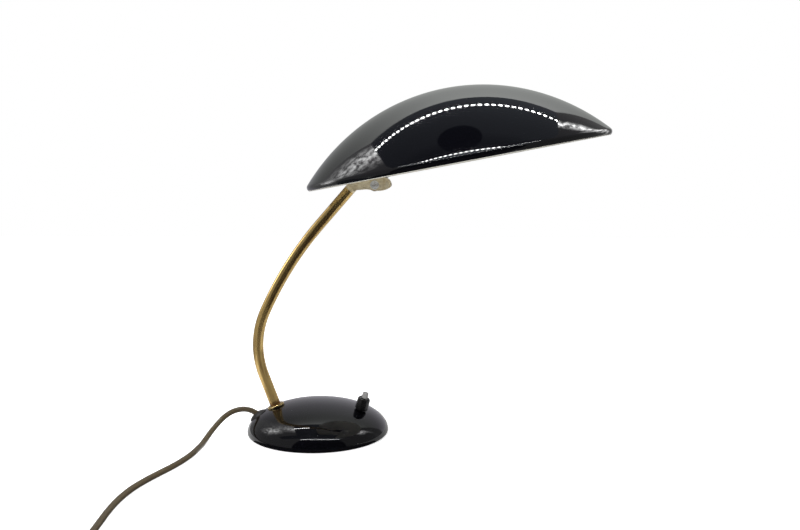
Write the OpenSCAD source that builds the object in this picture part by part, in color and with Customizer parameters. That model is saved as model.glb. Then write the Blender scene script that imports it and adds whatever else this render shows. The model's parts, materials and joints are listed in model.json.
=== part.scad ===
// Desk lamp: a round weighted base, a bowed tube arm, a stamped hinge and a
// wide dome shade that tilts on it, with a push switch and a mains lead.
// Millimetres. The origin is the middle of the base's underside. +X points to
// the shade's nose, +Y away from the viewer and +Z up.

/* [Base] */
// Radius of the pressed steel base
base_r = 79.4; // [76:0.1:90]
// Height of the base above the table
base_h = 35.8; // [34:0.1:42]
// Sheet thickness of the base
base_wall = 1.2; // [0.8:0.1:1.4]
// Rounding of the base's bottom edge
base_edge_r = 2.8; // [2:0.1:4]
// Width of the flat hem inside the bottom edge
hem_w = 2; // [1:0.1:3]
// Height that the felt stands proud of the hem
felt_proud = 0.6; // [0.3:0.1:1]
// Thickness of the felt pad
felt_t = 1.2; // [1:0.1:1.6]
// Thickness of the bottom plate
plate_t = 1; // [0.8:0.1:1.2]
// Thickness of the cast ballast disc
weight_t = 6.5; // [4:0.1:7]
// Radius of the post under the crown of the base
post_r = 5; // [4.5:0.1:7]
// Radius of the ground screw that holds plate and ballast
base_screw_r = 3; // [2.5:0.1:3.5]

/* [Arm] */
// Outer radius of the brass tube
tube_r = 6; // [5.8:0.1:6.4]
// Wall of the brass tube
tube_wall = 1; // [0.8:0.1:1.2]
// Distance of the arm's foot in from the base's edge
foot_inset = 31.8; // [30:0.1:35]
// Lean of the arm's foot away from the shade, in degrees
foot_lean = 20.3; // [18:0.1:22]
// Length of the straight stretch above the foot
foot_run = 38.3; // [34:0.1:44]
// Radius of the tight lower bow
bow_r = 95.8; // [88:0.1:104]
// Sweep of the tight lower bow, in degrees
bow_sweep = 44.3; // [42:0.1:46]
// Radius of the long upper bow
upper_r = 398; // [380:1:420]
// Sweep of the long upper bow, in degrees
upper_sweep = 16.8; // [15:0.1:18]
// Length of the straight stretch at the top
top_run = 49.8; // [45:0.1:54]
// Depth that the hinge reaches into the tube's top end
grip_run = 16; // [12:0.5:20]
// Outer radius of the brass ring at the foot
collar_r = 9.6; // [8:0.1:10]
// Height of the brass ring at the foot
collar_h = 3.6; // [2:0.1:4]

/* [Hinge] */
// Sheet thickness of the two stamped cheeks
cheek_t = 1.4; // [1:0.1:1.6]
// Thickness of the shade's hinge tongue
tongue_t = 3.2; // [2.6:0.1:4]
// Thickness of each friction washer
friction_t = 1; // [0.6:0.1:1.2]
// Radius of the pivot screw's shank
pivot_r = 3; // [2.5:0.1:3.2]
// Radius of the pivot screw's head
pivot_head_r = 4.7; // [4.5:0.05:5.2]
// Height of the pivot screw's head
pivot_head_h = 3.9; // [3:0.1:4.4]
// Distance of the pivot beyond the tube's end, along X
pivot_ahead = 28.1; // [26:0.1:31]
// Distance of the pivot above the tube's end
pivot_above = 5.9; // [4.5:0.1:7.5]

/* [Shade] */
// Radius of the shade
shade_r = 167.5; // [160:0.5:178]
// Curvature radius of the shade's crown
crown_r = 217.7; // [212:0.1:226]
// Flattening of the dome: 1 is a sphere, less is flatter at the rim
crown_shape = 0.9; // [0.84:0.01:0.93]
// Rounding of the shade's rim
rim_r = 4.6; // [4:0.1:6]
// Sheet thickness of the shade
shade_wall = 0.9; // [0.7:0.1:1.2]
// Tilt of the shade at rest, nose up, in degrees
shade_tilt = 10.8; // [8:0.1:13]
// Distance of the pivot behind the shade's middle
pivot_back = 94.2; // [90:0.1:97]
// Distance of the pivot below the rim
pivot_drop = 6.1; // [5:0.1:8]

/* [Lamp holder] */
// Depth of the bulb's axis under the shade's crown
bulb_drop = 41.2; // [39:0.1:43]
// Outer radius of the lamp holder
holder_r = 19.5; // [18:0.5:21]
// Distance of the holder's wall from the pivot, along the shade
wall_ahead = 16.2; // [14:0.1:18]
// Radius of the bulb
bulb_r = 30; // [27:0.5:31]
// Length of the bulb
bulb_len = 105; // [98:1:110]

/* [Switch] */
// Distance of the switch in from the base's edge
switch_inset = 29.4; // [26:0.1:33]
// Bearing of the switch, towards the viewer, in degrees
switch_bearing = -12; // [-20:1:0]
// Lean of the switch, outwards, in degrees
switch_lean = 16.8; // [15:0.1:20]
// Width across the flats of the switch's collar
collar_af = 13.6; // [13:0.1:15]
// Height of the switch's collar
switch_collar_h = 14.5; // [13:0.1:16]
// Radius of the push button
button_r = 3.4; // [3:0.1:3.6]
// Height of the button above its collar
button_proud = 6; // [5:0.1:9]

/* [Cord] */
// Diameter of the mains cord
cord_d = 6; // [5:0.1:6.2]
// Distance of the cord's grommet in from the base's edge
gland_inset = 10.9; // [10:0.1:12]
// Radius of the grommet's flange
gland_r = 10.4; // [9.4:0.1:11]

/* [Hidden] */
$fn = 72;
eps = 0.01;
slip = 0.3;          // clearance between parts that don't touch
run_fit = 0.06;      // radial clearance of a pin or shaft that turns
thread_gap = 0.05;   // radial clearance drawn at a screwed joint
sheet_gap = 0.05;    // clearance of a sheet welded or laid on another

enamel = "#15151a";
brass = "#b08d3e";
pale_brass = "#cbb98a";
steel = "#a9adb0";
iron = "#55565a";
bakelite = "#1b1a1c";
porcelain = "#eeeae0";
cord_brown = "#5b4636";

// ---------- small helpers ----------
function unit(v) = v / norm(v);
function ahead(a) = [sin(a), 0, cos(a)];        // heading a, from +Z towards +X
function beside(a) = [cos(a), 0, -sin(a)];      // to the right of that heading

// Points of a Catmull-Rom curve through p, n steps between neighbours
function curve_at(a, b, c, d, t) =
    0.5 * (2 * b + (c - a) * t + (2 * a - 5 * b + 4 * c - d) * t * t
        + (3 * b - a - 3 * c + d) * t * t * t);
function curve(p, n) = let (last = len(p) - 1) concat(
    [for (i = [0 : last - 1]) for (k = [0 : n - 1])
        curve_at(i > 0 ? p[i - 1] : 2 * p[0] - p[1], p[i], p[i + 1],
            i < last - 1 ? p[i + 2] : 2 * p[last] - p[last - 1], k / n)],
    [p[last]]);
function run_length(p) = len(p) < 2 ? 0
    : [for (i = 1, s = 0; i <= len(p); s = s + (i < len(p) ? norm(p[i] - p[i - 1]) : 0), i = i + 1) s]
        [len(p) - 1];

// A round tube along p, as one closed surface of triangles
function heading(p, i) = unit(p[min(i + 1, len(p) - 1)] - p[max(i - 1, 0)]);
function square_to(u, t) = unit(u - (u * t) * t);
function sides_of(p, u0) = [for (i = 0, u = square_to(u0, heading(p, 0)); i < len(p);
    i = i + 1, u = i < len(p) ? square_to(u, heading(p, i)) : u) u];
module tube(p, r, sides = 8, first_side = [0, 0, 1]) {
    across = sides_of(p, first_side);
    n = len(p);
    rings = [for (i = [0 : n - 1]) for (k = [0 : sides - 1])
        let (a = 360 * (k + 0.5) / sides, t = heading(p, i))
        p[i] + r * (cos(a) * across[i] + sin(a) * cross(t, across[i]))];
    walls = [for (i = [0 : n - 2]) for (k = [0 : sides - 1])
        let (a = i * sides + k, b = i * sides + (k + 1) % sides)
        each [[a, a + sides, b], [b, a + sides, b + sides]]];
    near_end = [for (k = [1 : sides - 2]) [0, k, k + 1]];
    far_end = [for (k = [1 : sides - 2]) let (f = (n - 1) * sides) [f, f + k + 1, f + k]];
    polyhedron(concat(rings, [p[0], p[n - 1]]), concat(walls,
        [for (k = [0 : sides - 1]) [n * sides, k, (k + 1) % sides]],
        [for (k = [0 : sides - 1]) let (f = (n - 1) * sides) [n * sides + 1, f + (k + 1) % sides, f + k]]));
}

// ---------- base ----------
foot_at = base_r - foot_inset;                  // distances from the middle of the base
switch_at = base_r - switch_inset;
gland_at = base_r - gland_inset;
lip_z = felt_proud + base_edge_r;               // height of the widest circle
dome_rise = base_h - lip_z;
function dome_z(r) = lip_z + dome_rise * sqrt(1 - pow(r / base_r, 2));
function dome_lean(r) = atan(dome_rise * r / base_r / base_r / sqrt(1 - pow(r / base_r, 2)));
dome_steps = 36;
edge_steps = 6;
plate_top = felt_t + plate_t;
weight_top = plate_top + weight_t;
weight_gap = 0.4;
hem_r = base_r - base_edge_r - hem_w;
plate_r = hem_r - weight_gap;
function dome_inner_r(z) =
    (base_r - base_wall) * sqrt(1 - pow((z - lip_z) / (dome_rise - base_wall), 2));
weight_r = min(dome_inner_r(weight_top), base_r - base_wall) - weight_gap;
felt_inset = 0.6;
seat_lift = 0.6;                                // height above the dome at which a piece stands
seat_t = 2.8;                                   // depth below that of a seat's flat underside
seat_margin = 0.4;

module at_dome(r, bearing, lean) {
    rotate([0, 0, bearing]) translate([r, 0, dome_z(r)]) rotate([0, lean, 0])
        translate([0, 0, seat_lift]) children();
}
module at_foot() { at_dome(foot_at, 180, foot_lean) children(); }
module at_switch() { at_dome(switch_at, switch_bearing, switch_lean) children(); }
module at_gland() {
    rotate([0, 0, 180]) translate([gland_at, 0, dome_z(gland_at)])
        rotate([0, dome_lean(gland_at), 0]) children();
}
module dome_section(shrink) {
    polygon(concat([[0, lip_z]],
        [for (i = [0 : dome_steps]) let (a = 90 - 90 * i / dome_steps)
            [(base_r - shrink) * sin(a), lip_z + (dome_rise - shrink) * cos(a)]]));
}
module edge_section() {
    mid = base_r - base_edge_r;
    polygon(concat(
        [for (i = [0 : edge_steps]) let (a = 90 * i / edge_steps)
            [mid + base_edge_r * cos(a), lip_z - base_edge_r * sin(a)]],
        [[hem_r, felt_proud], [hem_r, felt_proud + base_wall]],
        [for (i = [edge_steps : -1 : 0]) let (a = 90 * i / edge_steps)
            [mid + (base_edge_r - base_wall) * cos(a),
             lip_z - (base_edge_r - base_wall) * sin(a)]]));
}
module seat(r) { translate([0, 0, -seat_t]) cylinder(h = seat_t, r = r + seat_margin); }
module hole(r) { translate([0, 0, -2 * seat_t]) cylinder(h = 4 * seat_t, r = r); }

module base_shell() color(enamel) {
    difference() {
        union() {
            rotate_extrude() difference() { dome_section(0); dome_section(base_wall); }
            rotate_extrude() edge_section();
            intersection() {
                union() {
                    at_foot() seat(collar_r);
                    at_switch() seat(collar_af / 2);
                }
                rotate_extrude() dome_section(2 * sheet_gap);
            }
        }
        at_foot() hole(nipple_r + slip);
        at_switch() hole(neck_r + slip);
        at_gland() hole(gland_neck_r);
    }
}
module base_weight() color(iron) {
    difference() {
        translate([0, 0, plate_top]) cylinder(h = weight_t, r = weight_r);
        translate([0, 0, plate_top - eps]) cylinder(h = weight_t + 2 * eps, r = base_screw_r + slip);
        countersink();
        for (y = [-1, 1]) clamp_screw_place(y)
            cylinder(h = 3 * clamp_screw_r, r = clamp_screw_r, center = true);
    }
}
screw_head_r = 1.85 * base_screw_r;
screw_cone_h = screw_head_r - base_screw_r;
module countersink() {
    translate([0, 0, felt_t - eps]) cylinder(h = screw_cone_h + slip + 2 * eps,
        r1 = screw_head_r + slip, r2 = base_screw_r);
}
module base_plate() color(steel) {
    difference() {
        translate([0, 0, felt_t]) cylinder(h = plate_t, r = plate_r);
        countersink();
    }
}
felt_hole_r = screw_head_r + 4;
module felt_pad() color("#2f4a35") {
    difference() {
        cylinder(h = felt_t, r = plate_r - felt_inset);
        translate([0, 0, -eps]) cylinder(h = felt_t + 2 * eps, r = felt_hole_r);
    }
}
post_foot_r = 9;
post_foot_t = 1.5;
crown_in = base_h - base_wall;                  // inside of the base's crown
screw_grip = 11;
module crown_post() color(steel) {
    difference() {
        union() {
            translate([0, 0, weight_top]) cylinder(h = crown_in - sheet_gap - weight_top, r = post_r);
            intersection() {
                translate([0, 0, crown_in - post_foot_t - 1]) cylinder(h = post_foot_t + 1, r = post_foot_r);
                rotate_extrude() dome_section(base_wall + sheet_gap);
            }
        }
        translate([0, 0, weight_top - eps]) cylinder(h = screw_grip + 1, r = base_screw_r + thread_gap);
    }
}
slot_w = 1.6;
module base_screw() color(steel) {
    difference() {
        union() {
            translate([0, 0, felt_t]) cylinder(h = screw_cone_h, r1 = screw_head_r, r2 = base_screw_r);
            translate([0, 0, felt_t]) cylinder(h = weight_top - felt_t + screw_grip, r = base_screw_r);
        }
        translate([-screw_head_r, -slot_w / 2, felt_t - eps]) cube([2 * screw_head_r, slot_w, 1.2]);
    }
}

// ---------- arm ----------
foot = [-foot_at, 0, dome_z(foot_at)] + seat_lift * ahead(-foot_lean);
turn_1 = -foot_lean + bow_sweep;                // heading after the lower bow
turn_2 = turn_1 + upper_sweep;                  // heading at the top
bow_start = foot + foot_run * ahead(-foot_lean);
bow_mid = bow_start + bow_r * beside(-foot_lean);
bow_end = bow_mid - bow_r * beside(turn_1);
upper_mid = bow_end + upper_r * beside(turn_1);
upper_end = upper_mid - upper_r * beside(turn_2);
tube_end = upper_end + top_run * ahead(turn_2);
grip_start = tube_end - grip_run * ahead(turn_2);

// The tube's straight and bent lengths overlap, every other one a hair thicker
lap = 0.5;
hair = 0.02;
module straight_tube(p, heading, h, extra) {
    translate(p) rotate([0, heading, 0]) ring(tube_r - tube_wall - extra, tube_r + extra, h);
}
module bent_tube(mid, r, start, sweep, extra) {
    translate(mid) rotate([90, 0, 180]) rotate([0, 0, start])
        rotate_extrude(angle = sweep) translate([r, 0]) difference() {
            circle(r = tube_r + extra);
            circle(r = tube_r - tube_wall - extra);
        }
}
module arm_tube() color(brass) {
    upper_lap = lap / upper_r * 180 / PI;
    straight_tube(foot, -foot_lean, foot_run + lap, hair);
    bent_tube(bow_mid, bow_r, -foot_lean, bow_sweep, 0);
    bent_tube(upper_mid, upper_r, turn_1 - upper_lap, upper_sweep + 2 * upper_lap, hair);
    straight_tube(upper_end, turn_2, top_run, 0);
}
// The ring's round edge stands 2 mm above the tube's foot, its underside follows the dome and
// the tube stands on the ledge inside it
nipple_r = tube_r - tube_wall - thread_gap;     // threaded tube inside the arm's foot
collar_round = collar_h / 2;
collar_up = 2;
module arm_collar() color(brass) {
    difference() {
        at_foot() rotate_extrude() difference() {
            union() {
                translate([nipple_r + slip, collar_up - collar_h])
                    square([collar_r - collar_round - nipple_r - slip, collar_h]);
                translate([collar_r - collar_round, collar_up - collar_round]) circle(r = collar_round);
            }
            square([tube_r + thread_gap, collar_h]);
        }
        rotate_extrude() dome_section(-sheet_gap);
    }
}
nipple_bore = nipple_r - 1.2;
nipple_in = 12;
washer_t = 1.2;
arm_nut_h = 3.5;
nipple_out = seat_t + washer_t + arm_nut_h + 1;
module arm_nipple() color(steel) {
    at_foot() difference() {
        translate([0, 0, -nipple_out]) cylinder(h = nipple_out + nipple_in, r = nipple_r);
        translate([0, 0, -nipple_out - eps]) cylinder(h = nipple_out + nipple_in + 2 * eps, r = nipple_bore);
    }
}
module arm_washer() color(steel) {
    at_foot() translate([0, 0, -seat_t - washer_t])
        ring(nipple_r + slip, collar_r + seat_margin - slip, washer_t);
}
module ring(r_in, r_out, h) {
    difference() {
        cylinder(h = h, r = r_out);
        translate([0, 0, -eps]) cylinder(h = h + 2 * eps, r = r_in);
    }
}
module hex_nut(af, bore_r, h) {
    difference() {
        cylinder(h = h, r = af / sqrt(3), $fn = 6);
        translate([0, 0, -eps]) cylinder(h = h + 2 * eps, r = bore_r);
    }
}
module arm_nut() color(steel) {
    at_foot() translate([0, 0, -seat_t - washer_t - arm_nut_h])
        hex_nut(2 * nipple_r + 4, nipple_r + thread_gap, arm_nut_h);
}

// ---------- hinge ----------
pivot = tube_end + [pivot_ahead, 0, pivot_above];
cheek_in = tongue_t / 2 + friction_t;           // inner face of a cheek, from the middle
cheek_out = cheek_in + cheek_t;
spigot_out = tube_r - tube_wall - thread_gap;   // half tube that sits inside the arm
spigot_in = spigot_out - cheek_t;
slit = 0.4;                                     // half the slit between the two halves
shoulder_run = 5;                               // where the half tube flattens into the plate
corner_run = 5.2;                               // where the plate's lower edge turns away
// Outline of a cheek about the pivot, from the shoulder's end and round the eye
function on_shoulder(run, side) = [-pivot_ahead, -pivot_above] + run * [sin(turn_2), cos(turn_2)]
    + side * tube_r * [cos(turn_2), -sin(turn_2)];
cheek_outline = [on_shoulder(shoulder_run - 1, -1), on_shoulder(shoulder_run - 1, 1),
    on_shoulder(corner_run, 1), [-15.1, -5.4], [-10.1, -4.9], [-5.6, -5.2], [-2.1, -5.9], [1.9, -6.4],
    [7.9, -6.2], [12.9, -4.9], [16.8, -2.8], [18.8, -0.4], [18.4, 2.6], [16, 6.4], [10.4, 8.4], [-0.6, 9],
    [-12.6, 8]];

module half_ring(r_in, r_out, h) {
    intersection() {
        ring(r_in, r_out, h);
        translate([-r_out, -r_out - 1, 0]) cube([2 * r_out, r_out + 1 - slit, h]);
    }
}
module cheek_plate() {
    translate(pivot) rotate([90, 0, 0]) translate([0, 0, cheek_in])
        linear_extrude(height = cheek_t) polygon(cheek_outline);
}
// The half tube seats on the tube's end and flattens into the plate over the shoulder
module shoulder() {
    translate(tube_end) rotate([0, turn_2, 0]) difference() {
        hull() {
            translate([0, 0, sheet_gap]) half_disc(tube_r, eps);
            translate([-tube_r, -cheek_out, shoulder_run]) cube([2 * tube_r, cheek_out - slit, eps]);
        }
        hull() {
            translate([0, 0, -lap]) half_disc(spigot_in + 0.1, eps);
            translate([-tube_r - 1, -cheek_in, shoulder_run]) cube([2 * tube_r + 2, cheek_in, 2 * eps]);
        }
        translate([-tube_r, -slit, -1]) cube([2 * tube_r, tube_r, shoulder_run + 2]);
    }
}
module half_disc(r, h) {
    intersection() {
        cylinder(h = h, r = r, $fn = 32);
        translate([-r, -r - 1, 0]) cube([2 * r, r + 1, h]);
    }
}
module cheek() {
    difference() {
        union() {
            translate(grip_start) rotate([0, turn_2, 0]) half_ring(spigot_in, spigot_out, grip_run + 1);
            shoulder();
            cheek_plate();
        }
        translate(pivot) rotate([90, 0, 0])
            cylinder(h = 3 * cheek_out, r = pivot_r + run_fit, center = true);
    }
}
module cheek_front() color(pale_brass) cheek();
module cheek_rear() color(pale_brass) mirror([0, 1, 0]) cheek();

head_washer_t = 0.8;
washer_r = 4.9;
pivot_nut_h = 5;
pivot_nut_af = 10;
module on_pivot(side) { translate(pivot) rotate([90 * side, 0, 0]) children(); }
module pivot_screw() color(steel) {
    under_head = cheek_out + head_washer_t;
    reach = cheek_out + head_washer_t + pivot_nut_h + 1;
    on_pivot(1) difference() {
        union() {
            translate([0, 0, under_head]) cylinder(h = pivot_head_h, r = pivot_head_r);
            translate([0, 0, -reach]) cylinder(h = under_head + reach, r = pivot_r);
        }
        rotate([0, 0, 17]) translate([-pivot_head_r - 1, -slot_w / 2, under_head + pivot_head_h - 1.9])
            cube([2 * pivot_head_r + 2, slot_w, 2]);
    }
}
module pivot_washers() color(steel) {
    for (side = [-1, 1]) on_pivot(side) translate([0, 0, cheek_out])
        ring(pivot_r + slip, washer_r, head_washer_t);
}
module pivot_nut() color(steel) {
    on_pivot(-1) translate([0, 0, cheek_out + head_washer_t])
        hex_nut(pivot_nut_af, pivot_r + thread_gap, pivot_nut_h);
}
friction_r = 6.4;
module friction_washers() color("#7a4a34") {
    for (side = [-1, 1]) on_pivot(side) translate([0, 0, tongue_t / 2])
        ring(pivot_r + slip, friction_r, friction_t);
}

// ---------- shade ----------
module at_shade() {
    translate(pivot) rotate([0, -shade_tilt, 0]) translate([pivot_back, 0, pivot_drop]) children();
}
shade_steps = 40;
rim_steps = 8;
rim_start = 41.3;                               // bearing where the rim's arc leaves the dome
rim_stop = -57.5;                               // bearing where the sheet ends
rim_mid = shade_r - rim_r;
function fall(r) = r * r / crown_r / (1 + sqrt(1 - crown_shape * pow(r / crown_r, 2)));
function slope(r) = atan(r / crown_r / sqrt(1 - crown_shape * pow(r / crown_r, 2)));
rim_join = rim_mid + rim_r * cos(rim_start);
rim_mid_fall = fall(rim_join) + rim_r * sin(rim_start);
shade_h = rim_mid_fall - rim_r * sin(rim_stop);
// Points of the dome's meridian, set in by t along its normal
function dome_line(t) = [for (i = [0 : shade_steps]) let (r = rim_join * i / shade_steps)
    [r - t * sin(slope(r)), shade_h - fall(r) - t * cos(slope(r))]];
function rim_line(t) = [for (i = [1 : rim_steps])
    let (a = rim_start + (rim_stop - rim_start) * i / rim_steps)
    [rim_mid + (rim_r - t) * cos(a), shade_h - rim_mid_fall + (rim_r - t) * sin(a)]];
function turned(p) = [for (i = [len(p) - 1 : -1 : 0]) p[i]];
module under_dome(t) { polygon(concat(dome_line(t), [[0, shade_h - fall(rim_join)]])); }

module shade_shell() color(enamel) {
    at_shade() rotate_extrude() polygon(concat(dome_line(0), rim_line(0),
        turned(rim_line(shade_wall)), turned(dome_line(shade_wall))));
}

// ---------- bracket and lamp holder, in the shade's own frame ----------
wall_t = 2;
wall_u = wall_ahead - pivot_back;               // rear face of the bracket's wall
wall_w = 30;
bulb_level = shade_h - bulb_drop;               // height of the bulb's axis above the rim
wall_low = bulb_level - 15;
flange_run = 20;
eye_r = 7;
holder_nipple_r = 4.95;
holder_nut_h = 3;
holder_nut_af = 14;
front_gap = wall_u + wall_t + holder_nut_h;     // front of the nut before the holder
dome_room = shade_wall + sheet_gap;

module bracket_blank() {
    translate([wall_u, -wall_w / 2, wall_low]) cube([wall_t, wall_w, shade_h - wall_low]);
    difference() {
        translate([wall_u, -wall_w / 2, bulb_level]) cube([flange_run, wall_w, shade_h - bulb_level]);
        rotate_extrude() under_dome(dome_room + wall_t);
    }
}
// Eye round the pivot, rising to the wall's rear face
module tongue() {
    rotate([90, 0, 0]) linear_extrude(height = tongue_t, center = true) {
        translate([-pivot_back, -pivot_drop]) circle(r = eye_r);
        polygon([[-pivot_back - eye_r, -pivot_drop], [-pivot_back + 2, -pivot_drop - eye_r + 0.3],
            [wall_u + wall_t / 2, -pivot_drop + 6], [wall_u + wall_t / 2, bulb_level - 12],
            [wall_u - 7, bulb_level - 12], [-pivot_back - eye_r, -pivot_drop + 12]]);
    }
}
module shade_bracket() color(steel) {
    at_shade() difference() {
        union() {
            intersection() {
                bracket_blank();
                rotate_extrude() under_dome(dome_room);
            }
            translate([wall_u, -wall_w / 2, wall_low]) cube([wall_t, wall_w, 2 * (bulb_level - wall_low)]);
            tongue();
        }
        translate([-pivot_back, 0, -pivot_drop]) rotate([90, 0, 0])
            cylinder(h = 2 * tongue_t, r = pivot_r + run_fit, center = true);
        translate([wall_u - 1, 0, bulb_level]) rotate([0, 90, 0])
            cylinder(h = wall_t + 2, r = holder_nipple_r + slip);
    }
}
// Children are drawn about the bulb's axis, pointing to the nose from u
module at_bulb(u) { at_shade() translate([u, 0, bulb_level]) rotate([0, 90, 0]) children(); }

nipple_run = 8;                                 // length of the nipple inside the holder's cap
nipple_t = 1.2;
module holder_nipple() color(steel) {
    run = nipple_run + 2 * holder_nut_h + wall_t + 2;
    at_bulb(wall_u - holder_nut_h - 2) ring(holder_nipple_r - nipple_t, holder_nipple_r, run);
}
module holder_nuts() color(steel) {
    at_bulb(wall_u - holder_nut_h) hex_nut(holder_nut_af, holder_nipple_r + thread_gap, holder_nut_h);
    at_bulb(wall_u + wall_t) hex_nut(holder_nut_af, holder_nipple_r + thread_gap, holder_nut_h);
}
cap_run = 20;                                   // length of the holder's domed cap
sleeve_run = 34;                                // length of the holder's sleeve
holder_wall = 2;
cap_neck_r = 8.5;
cap_u = front_gap;
sleeve_u = cap_u + cap_run;
module cap_section(in) {
    polygon([[0, 0], [cap_neck_r - in, 0], [cap_neck_r - in, 5], [cap_neck_r + 4 - in, 6.5],
        [holder_r - 3 - in, 10.5], [holder_r - 0.8 - in, 14], [holder_r - in, cap_run], [0, cap_run]]);
}
module holder_cap() color(bakelite) {
    at_bulb(cap_u) difference() {
        rotate_extrude() cap_section(0);
        translate([0, 0, holder_wall]) rotate_extrude() cap_section(holder_wall);
        translate([0, 0, -1]) cylinder(h = cap_run, r = holder_nipple_r + thread_gap);
    }
}
sleeve_lip = 1.2;
module holder_sleeve() color(bakelite) {
    at_bulb(sleeve_u) difference() {
        rotate_extrude() polygon([[0, 0], [holder_r + sleeve_lip, 0], [holder_r + sleeve_lip, 5],
            [holder_r, 6], [holder_r, sleeve_run - 5], [holder_r + sleeve_lip, sleeve_run - 4],
            [holder_r + sleeve_lip, sleeve_run], [0, sleeve_run]]);
        translate([0, 0, -1]) cylinder(h = sleeve_run + 2, r = holder_r - holder_wall);
    }
}
insert_r = holder_r - holder_wall - thread_gap;
insert_run = 10;
thread_r = 13.7;                                // inner crest of the screw shell
shell_t = 0.5;
module holder_insert() color(porcelain) {
    at_bulb(sleeve_u) difference() {
        cylinder(h = insert_run, r = insert_r);
        translate([0, 0, insert_run - 3]) cylinder(h = 4, r = thread_r - 1);
        for (y = [-1, 1]) translate([0, y * insert_r / 2, -1]) cylinder(h = insert_run + 2, r = 1.6);
    }
}
thread_pitch = 3.6;
thread_turns = 4;
thread_depth = 0.9;
// Wavy wall of a screw shell or cap, out to r and shell_t thick
module screw_wall(r, turns, lead_in) {
    wave = [for (i = [0 : 4 * turns])
        [r - thread_depth * (1 - cos(90 * i)) / 2, lead_in + thread_pitch * i / 4]];
    rotate_extrude() polygon(concat([[r, 0]], wave,
        [for (i = [len(wave) - 1 : -1 : 0]) wave[i] - [shell_t, 0]], [[r - shell_t, 0]]));
}
module holder_shell() color(brass) {
    at_bulb(sleeve_u + insert_run) {
        screw_wall(thread_r + thread_depth + shell_t, thread_turns, 1);
        ring(thread_r - 1, thread_r + thread_depth + shell_t, shell_t);
    }
}
module holder_contact() color(brass) {
    at_bulb(sleeve_u + insert_run - 3) {
        translate([-3, -9, 0]) cube([6, 18, 0.6]);
        cylinder(h = contact_rise, r = 2.4);
    }
}
contact_rise = 2.4;

// ---------- bulb ----------
tip_u = sleeve_u + insert_run - 3 + contact_rise + 0.1;
cap_r = thread_r - 0.4;
bulb_cap_run = 24;
glass_t = 0.8;
ball_at = bulb_len - bulb_r;                    // middle of the ball from the tip
glass_neck_r = cap_r - shell_t - 0.1;
module bulb_cap() color(steel) {
    at_bulb(tip_u) {
        translate([0, 0, 4]) screw_wall(cap_r, thread_turns, 1);
        translate([0, 0, 4 + 1 + thread_pitch * thread_turns - eps])
            ring(cap_r - shell_t, cap_r, bulb_cap_run - 5 - thread_pitch * thread_turns + eps);
    }
}
module bulb_tip() color("#2a2a2c") {
    plug_in = cap_r - shell_t - 0.6;
    at_bulb(tip_u) rotate_extrude()
        polygon([[0, 0], [3, 0], [4.5, 1], [5, 2], [plug_in, 4], [plug_in, 5.5], [0, 5.5]]);
}
neck_at = bulb_cap_run - 4;                    // where the glass enters the cap, past its thread
function glass_line(t) = let (r = bulb_r - t, n = glass_neck_r - t) concat(
    [[n, neck_at], [n, bulb_cap_run], [n + 0.6, bulb_cap_run + 3], [n + 3, bulb_cap_run + 10]],
    [for (i = [0 : 20]) let (a = -48 + 138 * i / 20) [r * cos(a), ball_at + r * sin(a)]]);
module bulb_glass() color("#f2efe6") {
    at_bulb(tip_u) rotate_extrude()
        polygon(concat(glass_line(0), turned(glass_line(glass_t))));
}
stem_top = 62;
stem_rod_r = 1.8;
module bulb_stem() color("#dfe6e8") {
    at_bulb(tip_u) {
        translate([0, 0, neck_at]) cylinder(h = 3, r = glass_neck_r - glass_t - 0.05);
        translate([0, 0, neck_at + 3]) cylinder(h = 22, r1 = 6, r2 = 3);
        translate([0, 0, neck_at + 25]) cylinder(h = stem_top - neck_at - 25, r = stem_rod_r);
    }
}
filament_r = 13;
wire_r = 0.35;
module bulb_filament() color(steel) {
    at_bulb(tip_u) {
        translate([0, 0, stem_top + 8]) rotate_extrude(angle = 300)
            translate([filament_r, 0]) circle(r = wire_r, $fn = 16);
        for (a = [0 : 75 : 300]) rotate([0, 0, a])
            tube([[stem_rod_r + wire_r, 0, stem_top - 4], [filament_r * 0.6, 0, stem_top + 3],
                [filament_r, 0, stem_top + 8]], wire_r, 6);
    }
}

// ---------- switch ----------
neck_r = 4.7;
neck_up = 11;
switch_body_r = 9;
switch_body_h = 13.5;
switch_roof = 1.2;
cavity_r = 4.5;
cavity_low = -seat_t - switch_body_h + 2;
cavity_top = -seat_t - switch_roof;
stop_t = 2;                                     // thickness of the button's retaining flange
module switch_body() color(bakelite) {
    at_switch() difference() {
        union() {
            translate([0, 0, -seat_t - switch_body_h]) cylinder(h = switch_body_h, r = switch_body_r);
            translate([0, 0, -seat_t - eps]) cylinder(h = seat_t + neck_up + eps, r = neck_r);
        }
        translate([0, 0, cavity_top - eps]) cylinder(h = neck_up - cavity_top + 1, r = button_r + run_fit);
        translate([0, 0, cavity_low]) cylinder(h = cavity_top - cavity_low, r = cavity_r);
    }
}
collar_foot_r = neck_r + 0.7;                   // octagonal collar, chamfered at both ends
collar_foot_h = 1.6;
collar_low_r = collar_af / 2 + 0.8;
collar_high_r = collar_af / 2 + 0.1;
collar_top_r = button_r + 1.9;
collar_chamfer = 1.5;
module switch_collar() color(bakelite) {
    difference() {
        at_switch() intersection() {
            translate([0, 0, -1])
                cylinder(h = switch_collar_h + 1, r = collar_af / 2 / cos(180 / 8), $fn = 8);
            rotate_extrude() polygon([[0, -1], [collar_foot_r, -1], [collar_foot_r, -seat_lift],
                [collar_low_r, collar_foot_h], [collar_high_r, switch_collar_h - collar_chamfer],
                [collar_top_r, switch_collar_h], [0, switch_collar_h]]);
        }
        rotate_extrude() dome_section(-sheet_gap);
        at_switch() {
            translate([0, 0, -2]) cylinder(h = neck_up + 2 + slip, r = neck_r + thread_gap);
            translate([0, 0, neck_up]) cylinder(h = switch_collar_h, r = button_r + slip);
            translate([0, 0, switch_collar_h - 1.2]) cylinder(h = 2, r = button_r + 1);
        }
    }
}
button_top = switch_collar_h + button_proud;
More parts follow.
